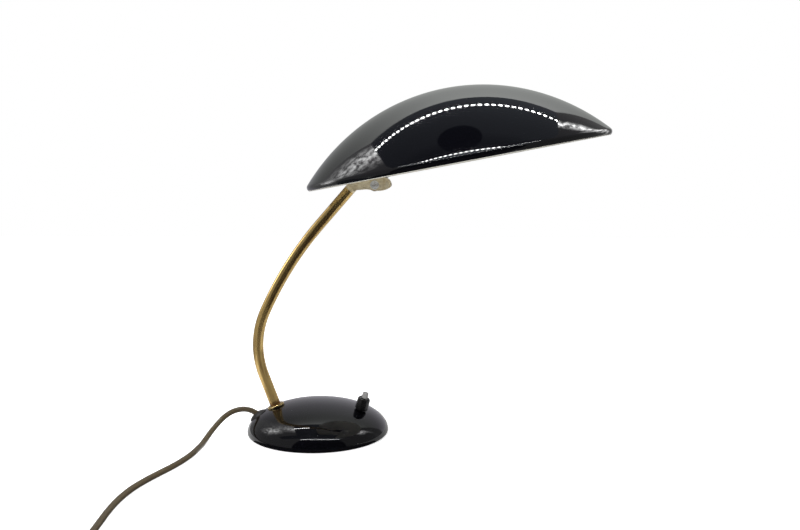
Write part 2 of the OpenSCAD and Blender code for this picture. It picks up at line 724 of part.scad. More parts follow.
module switch_button() color("#c9c8c6") {
    at_switch() {
        rotate_extrude() {
            square([button_r - 1, button_top]);
            square([button_r, button_top - 1]);
            translate([button_r - 1, button_top - 1]) circle(r = 1);
        }
        translate([0, 0, cavity_top - slip]) cylinder(h = slip - cavity_top + eps, r = button_r);
        translate([0, 0, cavity_top - slip - stop_t]) cylinder(h = stop_t, r = cavity_r - slip);
    }
}
spring_wire_r = 0.3;
spring_r = 3.2;
spring_curls = 5;
spring_low = cavity_low + spring_wire_r + 0.1;
spring_top = cavity_top - slip - stop_t - spring_wire_r - 0.1;
spring_points = [for (i = [0 : 8 * spring_curls]) let (a = 45 * i)
    [spring_r * cos(a), spring_r * sin(a), spring_low + (spring_top - spring_low) * i / (8 * spring_curls)]];
module switch_spring() color(steel) { at_switch() tube(spring_points, spring_wire_r, 6); }
module switch_terminals() color(brass) {
    at_switch() for (side = [-1, 1]) translate([0, side * switch_body_r, -seat_t - switch_body_h + 3]) {
        translate([-2, side > 0 ? 0 : -5, 0]) cube([4, 5, 0.8]);
        translate([0, side * 3, 0.8]) cylinder(h = 1.6, r = 1.8);
    }
}

// ---------- cord inlet and wiring inside the base ----------
gland_neck_r = 6;
gland_dome_h = 3.2;
gland_lip_r = 8;
gland_lip_t = 2;
cord_r = cord_d / 2;
exit_rise = 32;                                 // elevation of the cord where it leaves
exit_way = [-cos(exit_rise), 0, sin(exit_rise)];
exit_point = [-gland_at - 1, 0, dome_z(gland_at) + 1.2];
straight_end = 1.5;                             // straight bit where two stretches meet
// Route of the cord from the grommet to the coil, straight at its far end
cord_marks = [[-70.8, 0, 21.8], [-76.5, 0, 24.6], [-84, 0, 26], [-91.5, -2, 25.5], [-98.5, -6, 23.5],
    [-104.5, -12, 20], [-109.5, -20, 15.5], [-113.5, -29, 11], [-116.5, -38.5, 7], [-118.5, -48, 4.2],
    [-119.5, -58, 3], [-120.5, -70, 3], [-122, -84, 3], [-124.5, -98, 3], [-128.5, -113, 3],
    [-134, -129, 3], [-140.5, -145, 3], [-147, -162, 3], [-152.5, -180, 3], [-156, -199, 3],
    [-157.5, -218, 3], [-157.5, -238, 3], [-156.5, -258, 3], [-155.5, -278, 3], [-155, -298, 3],
    [-155, -316, 3], [-155, -330, 3]];
// The marks follow the grommet, in height only until the cord lies down
exit_shift = exit_point - [-69.5, 0, 21];
cord_route = [for (i = [0 : len(cord_marks) - 1])
    cord_marks[i] + [exit_shift[0], 0, exit_shift[2] * max(0, 1 - i / 9)]];
cord_line = concat([exit_point], curve(cord_route, 2));

module cord_grommet() color("#1c1b1b") {
    difference() {
        union() {
            difference() {
                at_gland() rotate_extrude() intersection() {
                    translate([0, -gland_r * gland_r / gland_dome_h / 2 + gland_dome_h])
                        circle(r = gland_r * gland_r / gland_dome_h / 2);
                    translate([0, -2]) square([gland_r, gland_dome_h + 2]);
                }
                rotate_extrude() dome_section(-sheet_gap);
            }
            at_gland() translate([0, 0, -base_wall - 1])
                cylinder(h = base_wall + 2, r = gland_neck_r - sheet_gap);
            at_gland() translate([0, 0, -base_wall - slip - 0.4 - gland_lip_t])
                cylinder(h = gland_lip_t, r = gland_lip_r);
        }
        cord_hole();
    }
}
module cord_hole() {
    translate(exit_point) rotate([0, -90 + exit_rise, 0])
        cylinder(h = 60, r = cord_r + sheet_gap, center = true);
}
// The inner stretch of the cord, from the grommet's face to the terminal block
block_x = 13;
block_y = -28;
block_w = 14;
block_h = 11;
inner_z = weight_top + cord_r + slip;
inner_marks = [[-65.2, 0, 17.9], [-61.5, 0, 15], [-57, -2.5, inner_z + 0.6], [-51, -9, inner_z],
    [-44.5, -18, inner_z], [-36, -25, inner_z], [-26, block_y, inner_z], [-block_x - 2, block_y, inner_z]];
inner_route = concat([exit_point - straight_end * exit_way], [for (i = [0 : len(inner_marks) - 1])
    inner_marks[i] + [exit_shift[0], 0, 0] * max(0, 1 - i / 5)]);
inner_line = concat([exit_point], curve(inner_route, 2), [[-block_x, block_y, inner_z]]);
module base_lead() color(cord_brown) { tube(inner_line, cord_r, 8); }

clamp_at = [-31, -26.8];
clamp_turn = -14;
clamp_screw_r = 1.5;
clamp_w = 8;
clamp_t = 1;
clamp_span = cord_r + 4.5;
module clamp_screw_place(side) {
    translate([clamp_at[0], clamp_at[1], weight_top]) rotate([0, 0, clamp_turn])
        translate([0, side * clamp_span, 0]) children();
}
module cord_clamp() color(steel) {
    arch_r = cord_r + slip;
    half = clamp_span + 3;
    at_clamp = [clamp_at[0], clamp_at[1], inner_z];
    translate(at_clamp) rotate([0, 0, clamp_turn]) rotate([0, 90, 0]) difference() {
        union() {
            cylinder(h = clamp_w, r = arch_r + clamp_t, center = true);
            translate([arch_r - clamp_t, -half, -clamp_w / 2]) cube([clamp_t, 2 * half, clamp_w]);
        }
        cylinder(h = clamp_w + 2, r = arch_r, center = true);
        translate([0, -arch_r, -clamp_w]) cube([arch_r + clamp_t + 1, 2 * arch_r, 2 * clamp_w]);
        for (side = [-1, 1]) translate([0, side * clamp_span, 0]) rotate([0, 90, 0])
            cylinder(h = 4 * cord_r, r = clamp_screw_r + slip);
    }
}
module clamp_screws() color(steel) {
    for (side = [-1, 1]) clamp_screw_place(side) {
        translate([0, 0, clamp_t]) cylinder(h = 1.8, r = 2.6);
        translate([0, 0, -clamp_screw_r])
            cylinder(h = clamp_screw_r + clamp_t + eps, r = clamp_screw_r - thread_gap);
    }
}
module terminal_block() color(porcelain) {
    translate([0, block_y, weight_top]) difference() {
        translate([-block_x, -block_w / 2, 0]) cube([2 * block_x, block_w, block_h]);
        for (x = [-6, 6]) for (y = [-3.2, 3.2]) translate([x, y, block_h - 3]) cylinder(h = 4, r = 2);
    }
}
module terminal_screws() color(brass) {
    for (x = [-6, 6]) for (y = [-3.2, 3.2])
        translate([x, block_y + y, weight_top + block_h - 3]) cylinder(h = 2, r = 1.8);
}
lead_r = 2.2;                                   // flex inside the arm
lead_steps = 12;
lead_out = nipple_out + 2;
arm_line = concat(
    [foot - lead_out * ahead(-foot_lean), foot],
    [for (i = [0 : lead_steps]) bow_mid - bow_r * beside(-foot_lean + bow_sweep * i / lead_steps)],
    [for (i = [1 : lead_steps]) upper_mid - upper_r * beside(turn_1 + upper_sweep * i / lead_steps)],
    [tube_end]);
module arm_lead() color(cord_brown) { tube(arm_line, lead_r, 8, [0, 1, 0]); }
base_turn = foot - lead_out * ahead(-foot_lean);
tail_r = lead_r - 0.2;
tail_end = [-6, block_y + block_w / 2, 13.5];
tail_route = [base_turn - straight_end * ahead(-foot_lean), base_turn - 4 * ahead(-foot_lean), [-36, -4, 14],
    [-28, -9, 13.5], [-20, -12, 13.5], [-12, -12.6, 13.5], [-7.2, -14.2, 13.5], tail_end + [0, 3.6, 0]];
tail_line = concat([base_turn], curve(tail_route, 2), [tail_end]);
module tail_lead() color(cord_brown) { tube(tail_line, tail_r, 8, [0, 1, 0]); }
wire_r_switch = 1.3;
switch_shift = [switch_at - 50, 0, 0];
switch_route = [[block_x + straight_end, block_y + 3, 14], [18, block_y + 3, 14], [25, -25.5, 14.5],
    [33, -24, 15.5] + switch_shift / 2, [40, -22.6, 17.4] + switch_shift];
switch_line = concat([[block_x, block_y + 3, 14]], curve(switch_route, 2));
module switch_lead() color(cord_brown) { tube(switch_line, wire_r_switch, 6); }
// Flex from the tube's mouth to the holder's nipple, bent as the shade tilts
nipple_rear = wall_u - holder_nut_h - 2;
function from_shade(u, w) = pivot + (u + pivot_back) * ahead(90 - shade_tilt)
    + (w + pivot_drop) * ahead(-shade_tilt);
hinge_route = [tube_end + straight_end * ahead(turn_2), tube_end + 5 * ahead(turn_2),
    tube_end + [6.1, 0, 11.1], tube_end + [7.1, 0, 20.3],
    from_shade(nipple_rear - 17, bulb_level - 18), from_shade(nipple_rear - 13, bulb_level - 5),
    from_shade(nipple_rear - 5, bulb_level), from_shade(nipple_rear, bulb_level)];
hinge_line = concat([tube_end], curve(hinge_route, 3));
module hinge_lead() color(cord_brown) { tube(hinge_line, lead_r, 8, [0, 1, 0]); }

// ---------- the coil of cord and the plug ----------
coil_outer = 42.6;                              // radius of the outermost turn
coil_pitch = 7;
coil_turns = 6.25;
coil_rings = 24;
coil_climb = cord_d + 0.6;
coil_mid = [cord_route[len(cord_route) - 1][0] + coil_outer, -346];
turn_back = (coil_turns - 0.5) / 2;             // where the spiral reverses and climbs
function ease(t) = t * t * (3 - 2 * t);
function spiral_r(t) = coil_outer - coil_pitch * (t < turn_back ? t
    : t > turn_back + 0.5 ? 2 * turn_back + 0.5 - t
    : turn_back + (t - turn_back) * (1 - 2 * (t - turn_back)));
function spiral_z(t) = cord_r + tie_lift(t)
    + coil_climb * (t < turn_back ? 0 : t > turn_back + 0.5 ? 1 : ease(2 * (t - turn_back)));
tie_bearing = 225;                              // where both layers of turns lie one on the other
tie_t = 0.6;
tie_w = 6;
function off_tie(t) = let (a = (540 + 360 * t - tie_bearing) % 360) min(a, 360 - a);
function tie_lift(t) = off_tie(t) < 20 ? tie_t * ease(1 - off_tie(t) / 20) * 1.6 : 0;
coil_steps = floor(coil_turns * coil_rings);
spiral = [for (i = [0 : coil_steps]) let (t = i / coil_rings, a = 180 + 360 * t)
    [coil_mid[0] + spiral_r(t) * cos(a), coil_mid[1] + spiral_r(t) * sin(a), spiral_z(t)]];
coil_end = spiral[coil_steps] + [cord_d, 0, 0];
route_end = cord_route[len(cord_route) - 1];
coil_line = concat([route_end, route_end - [0, cord_d, 0]], spiral, [coil_end]);
plug_w = 35;
plug_t = 13.6;
plug_run = 32;
boot_run = 24;
pin_gap = 19;
pin_r = 2;
pin_run = 19;
plug_z = plug_t / 2;
plug_at = [coil_end[0] + 46, coil_end[1] - 8];
plug_point = [plug_at[0], plug_at[1], plug_z];
plug_route = [coil_end + [straight_end, 0, 0], coil_end + [7, 0, 0],
    [coil_end[0] + 18, coil_end[1] - 1, 9], [coil_end[0] + 29, coil_end[1] - 5, 7.6],
    plug_point - [7, 0, 0], plug_point - [straight_end, 0, 0]];
plug_line = concat([coil_end], curve(plug_route, 2), [plug_point]);

// Least gap between two stretches of the coil more than a third of a turn apart
function nearest(p, from) = min([for (j = [from : len(p) - 1]) norm(p[j] - p[from - coil_rings / 3])]);
coil_gap = min([for (i = [0 : len(coil_line) - 1 - coil_rings / 3 - 1])
    nearest(coil_line, i + coil_rings / 3)]) - cord_d;
echo("least gap of the coil to itself", coil_gap);
echo("length of the cord", run_length(cord_line), run_length(coil_line), run_length(plug_line),
    run_length(cord_line) + run_length(coil_line) + run_length(plug_line));

module mains_cord() color(cord_brown) { tube(cord_line, cord_r, 8); }
module cord_coil() color(cord_brown) { tube(coil_line, cord_r, 6); }
module plug_cord() color(cord_brown) { tube(plug_line, cord_r, 8); }
coil_inner = min([for (p = spiral) norm([p[0] - coil_mid[0], p[1] - coil_mid[1]])]);
module cord_tie() color("#22201f") {
    near = coil_inner - cord_r - slip;
    far = coil_outer + cord_r + slip;
    top = 2 * cord_r + coil_climb + 1.6 * tie_t + slip;
    translate([coil_mid[0], coil_mid[1], 0]) rotate([0, 0, tie_bearing]) translate([0, tie_w / 2, 0])
        rotate([90, 0, 0]) linear_extrude(height = tie_w) difference() {
            translate([near - tie_t, 0]) square([far - near + 2 * tie_t, top + tie_t]);
            translate([near, tie_t]) square([far - near, top - tie_t]);
        }
}
// Half outline of the plug's flat body and outline of its ribbed strain relief
body_half = [[boot_run - 2, 7], [boot_run + 8, plug_w / 2 - 2], [boot_run + 11, plug_w / 2],
    [boot_run + plug_run, plug_w / 2]];
ribs = 5;
rib_step = 4;
rib_grow = 0.35;
function rib(i) = [for (p = [[1.4, 2], [1.4, 4.4], [0.9, 4.6], [1.1, 5.8]])
    [cord_r + rib_grow * i + p[0], rib_step * i + p[1]]];
module plug_body() color("#3a2c22") {
    translate([plug_at[0], plug_at[1], 0]) difference() {
        union() {
            translate([0, 0, plug_z]) rotate([0, 90, 0]) rotate_extrude()
                polygon(concat([[0, 0], [cord_r + 1, 0]], [for (i = [0 : ribs - 1]) each rib(i)],
                    [[cord_r + 3, boot_run], [0, boot_run]]));
            translate([0, 0, plug_z - plug_t / 2]) linear_extrude(height = plug_t)
                polygon(concat(body_half, turned([for (p = body_half) [p[0], -p[1]]])));
        }
        for (y = [-1, 1]) translate([boot_run + plug_run - 8, y * pin_gap / 2, plug_z]) rotate([0, 90, 0])
            cylinder(h = 9, r = pin_r + thread_gap);
    }
}
module plug_pins() color(brass) {
    for (y = [-1, 1]) translate([plug_at[0] + boot_run + plug_run - 8, plug_at[1] + y * pin_gap / 2, plug_z])
        rotate([0, 90, 0]) {
            cylinder(h = 8 + pin_run - 1, r = pin_r);
            translate([0, 0, 8 + pin_run - 1]) cylinder(h = 1, r1 = pin_r, r2 = pin_r - 0.8);
        }
}

base_shell();
base_weight();
base_plate();
felt_pad();
crown_post();
base_screw();
arm_tube();
arm_collar();
arm_nipple();
arm_washer();
arm_nut();
cheek_front();
cheek_rear();
pivot_screw();
pivot_washers();
pivot_nut();
friction_washers();
shade_shell();
shade_bracket();
holder_nipple();
holder_nuts();
holder_cap();
holder_sleeve();
holder_insert();
holder_shell();
holder_contact();
bulb_cap();
bulb_tip();
bulb_glass();
bulb_stem();
bulb_filament();
switch_body();
switch_collar();
switch_button();
switch_spring();
switch_terminals();
cord_grommet();
base_lead();
cord_clamp();
clamp_screws();
terminal_block();
terminal_screws();
arm_lead();
tail_lead();
switch_lead();
hinge_lead();
mains_cord();
cord_coil();
cord_tie();
plug_cord();
plug_body();
plug_pins();
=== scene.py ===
# %% [markdown]
# # A desk lamp with a dome shade
#
# The lamp has a black enamelled base, a bowed brass tube, a stamped brass hinge and a wide
# black shade, white inside. Its construction is already fixed: every solid is loaded as a
# frame. This file gives each visible piece its finished surface and its material, and lights
# the lamp as in a small photographer's tent.
#
# Lengths here are written in millimetres and turned into metres by `MM`.

# %% Load the frame
import json
from math import asin, atan, cos, hypot, pi, radians, sin, sqrt

import bmesh
import bpy
from mathutils import Matrix, Vector


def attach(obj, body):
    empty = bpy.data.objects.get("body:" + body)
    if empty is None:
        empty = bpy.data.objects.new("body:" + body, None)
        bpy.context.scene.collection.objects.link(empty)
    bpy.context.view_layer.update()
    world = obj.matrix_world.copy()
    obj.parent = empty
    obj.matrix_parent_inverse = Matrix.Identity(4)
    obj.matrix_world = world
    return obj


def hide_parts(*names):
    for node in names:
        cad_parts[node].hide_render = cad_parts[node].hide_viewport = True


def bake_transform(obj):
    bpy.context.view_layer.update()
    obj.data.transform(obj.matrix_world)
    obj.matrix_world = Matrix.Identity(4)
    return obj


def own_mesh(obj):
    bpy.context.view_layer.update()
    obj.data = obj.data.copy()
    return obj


MM = 0.001
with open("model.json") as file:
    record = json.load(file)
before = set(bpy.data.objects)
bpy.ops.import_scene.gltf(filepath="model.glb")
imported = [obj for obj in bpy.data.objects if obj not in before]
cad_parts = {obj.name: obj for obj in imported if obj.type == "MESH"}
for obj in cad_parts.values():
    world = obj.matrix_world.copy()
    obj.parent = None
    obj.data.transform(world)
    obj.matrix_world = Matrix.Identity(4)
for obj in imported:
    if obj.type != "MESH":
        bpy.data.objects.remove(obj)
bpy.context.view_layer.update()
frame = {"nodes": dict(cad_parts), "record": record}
nodes = frame["nodes"]
scene = bpy.context.scene

# %% [markdown]
# ## Camera
#
# The camera stands nearly a metre in front of the lamp, a little above the middle of it, and
# looks six degrees down. Its place was worked out from the outlines of base, arm and shade.

# %% Camera
CAMERA_PLACE = Vector((92.4, -928.8, 289.5)) * MM
CAMERA_DOWN = radians(6.05)
CAMERA_ROLL = radians(0.18)
CAMERA_LENS = 37.71


def aim_camera():
    data = bpy.data.cameras.new("camera")
    data.lens = CAMERA_LENS
    data.sensor_width = 36
    data.sensor_fit = "HORIZONTAL"
    data.clip_start = 0.01
    camera = bpy.data.objects.new("camera", data)
    scene.collection.objects.link(camera)
    turn = Matrix.Rotation(pi / 2 - CAMERA_DOWN, 4, "X") @ Matrix.Rotation(CAMERA_ROLL, 4, "Z")
    camera.matrix_world = Matrix.Translation(CAMERA_PLACE) @ turn
    scene.camera = camera
    return camera


camera = aim_camera()
print("camera at", tuple(camera.matrix_world.translation))

# %% [markdown]
# ## Node helpers
#
# Node trees for geometry and for materials are built by the same two small functions. `put`
# adds one node, sets its options and joins or fills its inputs, so that a tree reads from
# top to bottom. `calc` adds a Math node and returns its result.


# %% Node helpers
def put(tree, kind, inputs=None, **options):
    new = tree.nodes.new(kind)
    for name, value in options.items():
        setattr(new, name, value)
    for name, value in (inputs or {}).items():
        if isinstance(value, bpy.types.NodeSocket):
            tree.links.new(value, new.inputs[name])
        else:
            new.inputs[name].default_value = value
    return new


def calc(tree, operation, a, b=0.0):
    return put(tree, "ShaderNodeMath", {0: a, 1: b}, operation=operation).outputs[0]


def shape_tree(name, **inputs):
    tree = bpy.data.node_groups.new(name, "GeometryNodeTree")
    tree.interface.new_socket("Geometry", in_out="INPUT", socket_type="NodeSocketGeometry")
    for label, kind in inputs.items():
        tree.interface.new_socket(label.replace("_", " "), in_out="INPUT", socket_type=kind)
    tree.interface.new_socket("Geometry", in_out="OUTPUT", socket_type="NodeSocketGeometry")
    return tree, put(tree, "NodeGroupInput").outputs, put(tree, "NodeGroupOutput")


def run_tree(tree, mesh, name, **values):
    """A plain mesh object of what the tree makes of the mesh."""
    source = bpy.data.objects.new(name + "_source", mesh)
    scene.collection.objects.link(source)
    modifier = source.modifiers.new("shape", "NODES")
    modifier.node_group = tree
    for item in tree.interface.items_tree:
        if item.in_out == "INPUT" and item.name.replace(" ", "_") in values:
            modifier[item.identifier] = values[item.name.replace(" ", "_")]
    graph = bpy.context.evaluated_depsgraph_get()
    made = bpy.data.meshes.new_from_object(
        source.evaluated_get(graph), preserve_all_data_layers=True, depsgraph=graph)
    source.modifiers.remove(modifier)
    bpy.data.objects.remove(source)
    made.name = name
    piece = bpy.data.objects.new(name, made)
    scene.collection.objects.link(piece)
    return piece


def line_mesh(name, points):
    mesh = bpy.data.meshes.new(name)
    mesh.from_pydata([Vector(p) * MM for p in points], [(i, i + 1) for i in range(len(points) - 1)], [])
    return mesh


# %% [markdown]
# ## A tube on a path
#
# The arm and the cord are the same thing: a round section drawn along a line.
# Curve to Mesh does that. The tree also stores where each point would be if the tube were
# pulled straight, as the attribute `straight`, so that streaks and grain can run along it.


# %% Tube tree
def tube_tree():
    tree, given, out = shape_tree(
        "tube_on_path", Radius="NodeSocketFloat", Sides="NodeSocketInt", Finish="NodeSocketMaterial")
    path = put(tree, "GeometryNodeMeshToCurve", {"Mesh": given["Geometry"]}).outputs[0]
    length = put(tree, "GeometryNodeSplineParameter").outputs["Length"]
    along = put(tree, "GeometryNodeCaptureAttribute", {"Geometry": path})
    along.capture_items.new("FLOAT", "along")
    tree.links.new(length, along.inputs[1])
    ring = put(tree, "GeometryNodeCurvePrimitiveCircle",
               {"Resolution": given["Sides"], "Radius": given["Radius"]}).outputs[0]
    place = put(tree, "GeometryNodeInputPosition").outputs[0]
    around = put(tree, "GeometryNodeCaptureAttribute", {"Geometry": ring})
    around.capture_items.new("VECTOR", "around")
    tree.links.new(place, around.inputs[1])
    skin = put(tree, "GeometryNodeCurveToMesh",
               {"Curve": along.outputs[0], "Profile Curve": around.outputs[0], "Fill Caps": True})
    xyz = put(tree, "ShaderNodeSeparateXYZ", {0: around.outputs[1]}).outputs
    straight = put(tree, "ShaderNodeCombineXYZ", {0: xyz[0], 1: xyz[1], 2: along.outputs[1]}).outputs[0]
    stored = put(tree, "GeometryNodeStoreNamedAttribute", {"Geometry": skin.outputs[0], "Name": "straight"},
                 data_type="FLOAT_VECTOR", domain="POINT")
    tree.links.new(straight, stored.inputs["Value"])
    smooth = put(tree, "GeometryNodeSetShadeSmooth", {0: stored.outputs[0]}).outputs[0]
    real = put(tree, "GeometryNodeRealizeInstances", {0: smooth}).outputs[0]
    done = put(tree, "GeometryNodeSetMaterial", {"Geometry": real, "Material": given["Finish"]}).outputs[0]
    tree.links.new(done, out.inputs[0])
    return tree


TUBE_TREE = tube_tree()


def tube(name, points, radius, finish, sides):
    mesh = line_mesh(name, points)
    piece = run_tree(TUBE_TREE, mesh, name, Radius=radius * MM, Sides=sides, Finish=finish)
    sharpen(piece, 50)
    return piece


def sharpen(piece, angle):
    piece.data.set_sharp_from_angle(angle=radians(angle))


print("tube tree has", len(TUBE_TREE.nodes), "nodes")

# %% [markdown]
# ## Materials
#
# A material here is a Principled shader whose colour, roughness and bump come from noise at
# the scale of the real finish. `where` gives Object coordinates, or the `straight` attribute
# of a tube, `noise` samples a pattern there, and `ramp` picks out part of it.


# %% Material helpers
def new_material(name, colour, rough, metal=0.0, **sockets):
    """A material of one plain colour and gloss, which patterns linked later can replace."""
    material = bpy.data.materials.new(name)
    material.use_nodes = True
    tree = material.node_tree
    shader = tree.nodes["Principled BSDF"]
    shader.inputs["Base Color"].default_value = (*colour, 1)
    shader.inputs["Roughness"].default_value = rough
    shader.inputs["Metallic"].default_value = metal
    for socket, value in sockets.items():
        shader.inputs[socket.replace("_", " ")].default_value = value
    return material, tree, shader


def where(tree, attribute=None, stretch=(1, 1, 1)):
    if attribute:
        start = put(tree, "ShaderNodeAttribute", attribute_name=attribute).outputs["Vector"]
    else:
        start = put(tree, "ShaderNodeTexCoord").outputs["Object"]
    return put(tree, "ShaderNodeMapping", {"Vector": start, "Scale": stretch}).outputs[0]


def noise(tree, place, size, detail=3.0, rough=0.5):
    """Noise whose lumps are about size millimetres across."""
    inputs = {"Vector": place, "Scale": 1 / (size * MM), "Detail": detail, "Roughness": rough}
    return put(tree, "ShaderNodeTexNoise", inputs).outputs[0]


def ramp(tree, value, low, high, to_low=0.0, to_high=1.0):
    inputs = {"Value": value, "From Min": low, "From Max": high, "To Min": to_low, "To Max": to_high}
    return put(tree, "ShaderNodeMapRange", inputs).outputs[0]


def blend_colours(tree, factor, a, b):
    new = put(tree, "ShaderNodeMix", {"Factor": factor}, data_type="RGBA")
    for socket, colour in ((new.inputs[6], a), (new.inputs[7], b)):
        if isinstance(colour, bpy.types.NodeSocket):
            tree.links.new(colour, socket)
        else:
            socket.default_value = (*colour, 1)
    return new.outputs[2]


def bump(tree, shader, height, depth, strength=1.0):
    """Bump of depth millimetres where height goes from 0 to 1."""
    lift = put(tree, "ShaderNodeBump", {"Height": height, "Distance": depth * MM, "Strength": strength})
    tree.links.new(lift.outputs[0], shader.inputs["Normal"])


def specks(tree, place, spacing, size):
    """Small round spots, 1 inside, about spacing apart and size across."""
    cells = put(tree, "ShaderNodeTexVoronoi", {"Vector": place, "Scale": 1 / (spacing * MM)})
    return ramp(tree, cells.outputs["Distance"], size / spacing / 2, size / spacing / 3)


# %% [markdown]
# ## Cord
#
# The photo shows a brown round cord that leaves the back of the base, dips to the table and
# runs out of view. A lamp of this kind has 1.7 to 1.8 m of it. The rest is wound in a small
# coil just outside the view, in two layers, with the plug beside it. The route is the same
# as that of the solid cord.

# %% Cord finish
def cord_finish():
    material, tree, shader = new_material("brown cord", (0.085, 0.055, 0.04), 0.4, Specular_IOR_Level=0.5)
    place = where(tree, "straight", (1, 1, 0.25))
    mottle = noise(tree, place, 3.0)
    colour = blend_colours(tree, mottle, (0.045, 0.032, 0.016), (0.1, 0.075, 0.04))
    tree.links.new(colour, shader.inputs["Base Color"])
    tree.links.new(ramp(tree, noise(tree, place, 1.5), 0.3, 0.7, 0.3, 0.5), shader.inputs["Roughness"])
    bump(tree, shader, noise(tree, place, 0.8), 0.05)
    return material


BROWN_CORD = cord_finish()

# %% Cord route
CORD_D = 6.0
CORD_EXIT = (-69.5, 0, 21)
STRAIGHT_END = 1.5
CORD_ROUTE = [
    (-70.8, 0, 21.8), (-76.5, 0, 24.6), (-84, 0, 26), (-91.5, -2, 25.5), (-98.5, -6, 23.5),
    (-104.5, -12, 20), (-109.5, -20, 15.5), (-113.5, -29, 11), (-116.5, -38.5, 7), (-118.5, -48, 4.2),
    (-119.5, -58, 3), (-120.5, -70, 3), (-122, -84, 3), (-124.5, -98, 3), (-128.5, -113, 3),
    (-134, -129, 3), (-140.5, -145, 3), (-147, -162, 3), (-152.5, -180, 3), (-156, -199, 3),
    (-157.5, -218, 3), (-157.5, -238, 3), (-156.5, -258, 3), (-155.5, -278, 3), (-155, -298, 3),
    (-155, -316, 3), (-155, -330, 3)]
COIL_OUTER = 42.6
COIL_PITCH = 7.0
COIL_TURNS = 6.25
COIL_CLIMB = CORD_D + 0.6
COIL_STEPS = 48
CROSSING = 0.5
COIL_MID = (CORD_ROUTE[-1][0] + COIL_OUTER, -346)
TURN_BACK = (COIL_TURNS - CROSSING) / 2
TIE_BEARING = 225
TIE_REACH = 20
TIE_LIFT = 0.96
TAIL_MARKS = ((18, -1, 9), (29, -5, 7.6))
PLUG_AT = (46, -8, 6.8)
PLUG_LEAD = 7


def curve_through(points, steps):
    """Points of a Catmull-Rom curve through the given ones."""
    p = [Vector(q) for q in points]
    p = [2 * p[0] - p[1], *p, 2 * p[-1] - p[-2]]
    made = []
    for a, b, c, d in zip(p, p[1:], p[2:], p[3:]):
        for k in range(steps):
            t = k / steps
            made.append(0.5 * (2 * b + (c - a) * t + (2 * a - 5 * b + 4 * c - d) * t * t
                               + (3 * b - a - 3 * c + d) * t ** 3))
    return [*made, p[-2]]


def ease(t):
    return t * t * (3 - 2 * t)


def coil_point(t):
    """The coil's centreline after t turns: in on the first layer, up, and out on the second.

    The tie passes under the cord, which is lifted a little there.
    """
    if t < TURN_BACK:
        inward, layer = t, 0
    elif t > TURN_BACK + CROSSING:
        inward, layer = 2 * TURN_BACK + CROSSING - t, 1
    else:
        crossed = (t - TURN_BACK) / CROSSING
        inward = TURN_BACK + (t - TURN_BACK) * (1 - crossed)
        layer = ease(crossed)
    bearing = 180 + 360 * t
    off = (bearing - TIE_BEARING) % 360
    off = min(off, 360 - off)
    lift = TIE_LIFT * ease(1 - off / TIE_REACH) if off < TIE_REACH else 0
    radius = COIL_OUTER - COIL_PITCH * inward
    x = COIL_MID[0] + radius * cos(radians(bearing))
    y = COIL_MID[1] + radius * sin(radians(bearing))
    return Vector((x, y, CORD_D / 2 + lift + COIL_CLIMB * layer))


def cord_points():
    lead = curve_through(CORD_ROUTE, 6)
    coil = [coil_point(i / COIL_STEPS) for i in range(int(COIL_TURNS * COIL_STEPS) + 1)]
    end = coil[-1] + Vector((CORD_D, 0, 0))
    marks = [(end.x + x, end.y + y, z) for x, y, z in TAIL_MARKS]
    plug = Vector((end.x + PLUG_AT[0], end.y + PLUG_AT[1], PLUG_AT[2]))
    back = Vector((1, 0, 0))
    tail = curve_through([end + STRAIGHT_END * back, end + PLUG_LEAD * back, *marks,
                          plug - PLUG_LEAD * back, plug - STRAIGHT_END * back], 6)
    return [Vector(CORD_EXIT), *lead, lead[-1] - Vector((0, CORD_D, 0)), *coil, end, *tail, plug]


cord_line = cord_points()
cord_length = sum((b - a).length for a, b in zip(cord_line, cord_line[1:]))
cord = tube("mains_lead", cord_line, CORD_D / 2, BROWN_CORD, sides=20)
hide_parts("mains_cord", "cord_coil", "plug_cord")
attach(cord, "stand")
print("cord is", round(cord_length), "mm long")

# %% [markdown]
# ## The studio
#
# Polished black enamel has hardly any colour of its own: what one sees is the room. So the
# room is built as the reflections show it, a tent with a white back, rows of small lamps in
# its dark roof, a round hole between two of them, silver side walls and an open dark front. A
# flat board in front of the lamp keeps the middle row off the base. The tent is hidden from
# the camera and only shows in reflections. The floor is pure white to the camera and keeps
# the lamp's shadow. Coordinates are those of the lamp, so the tent is placed around it.

# %% Tent sizes
TENT_X = (-300, 490)
TENT_Y = (-450, 330)
ROOF_Z = 790
LAMP_ROWS_Y = (-420, -208, 187)
LAMP_SPACING = 23.5
LAMP_R = 7.5
LAMP_DROP = 2
LAMP_LEVEL = 60
ROW_END_GAP = 8
HOLE_PLACE = (80, -98)
HOLE_R = 92
HOLE_DROP = 1
FLAG_X = (-250, 110)
FLAG_Y = (-150, -85)
FLAG_Z = 240


# %% Studio helpers
def glow(name, colour, strength):
    material = bpy.data.materials.new(name)
    material.use_nodes = True
    tree = material.node_tree
    tree.nodes.remove(tree.nodes["Principled BSDF"])
    light = put(tree, "ShaderNodeEmission", {"Color": (*colour, 1), "Strength": strength})
    tree.links.new(light.outputs[0], tree.nodes["Material Output"].inputs["Surface"])
    return material, tree, light


def panel(name, corners, material):
    mesh = bpy.data.meshes.new(name)
    mesh.from_pydata([Vector(c) * MM for c in corners], [], [range(len(corners))])
    mesh.materials.append(material)
    piece = bpy.data.objects.new(name, mesh)
    scene.collection.objects.link(piece)
    return piece


def level_panel(name, x_ends, y_ends, z, material):
    """A rectangle that lies level at height z."""
    (x0, x1), (y0, y1) = x_ends, y_ends
    return panel(name, [(x0, y0, z), (x1, y0, z), (x1, y1, z), (x0, y1, z)], material)


def reflected_only(piece):
    piece.visible_camera = False
    piece.visible_shadow = False


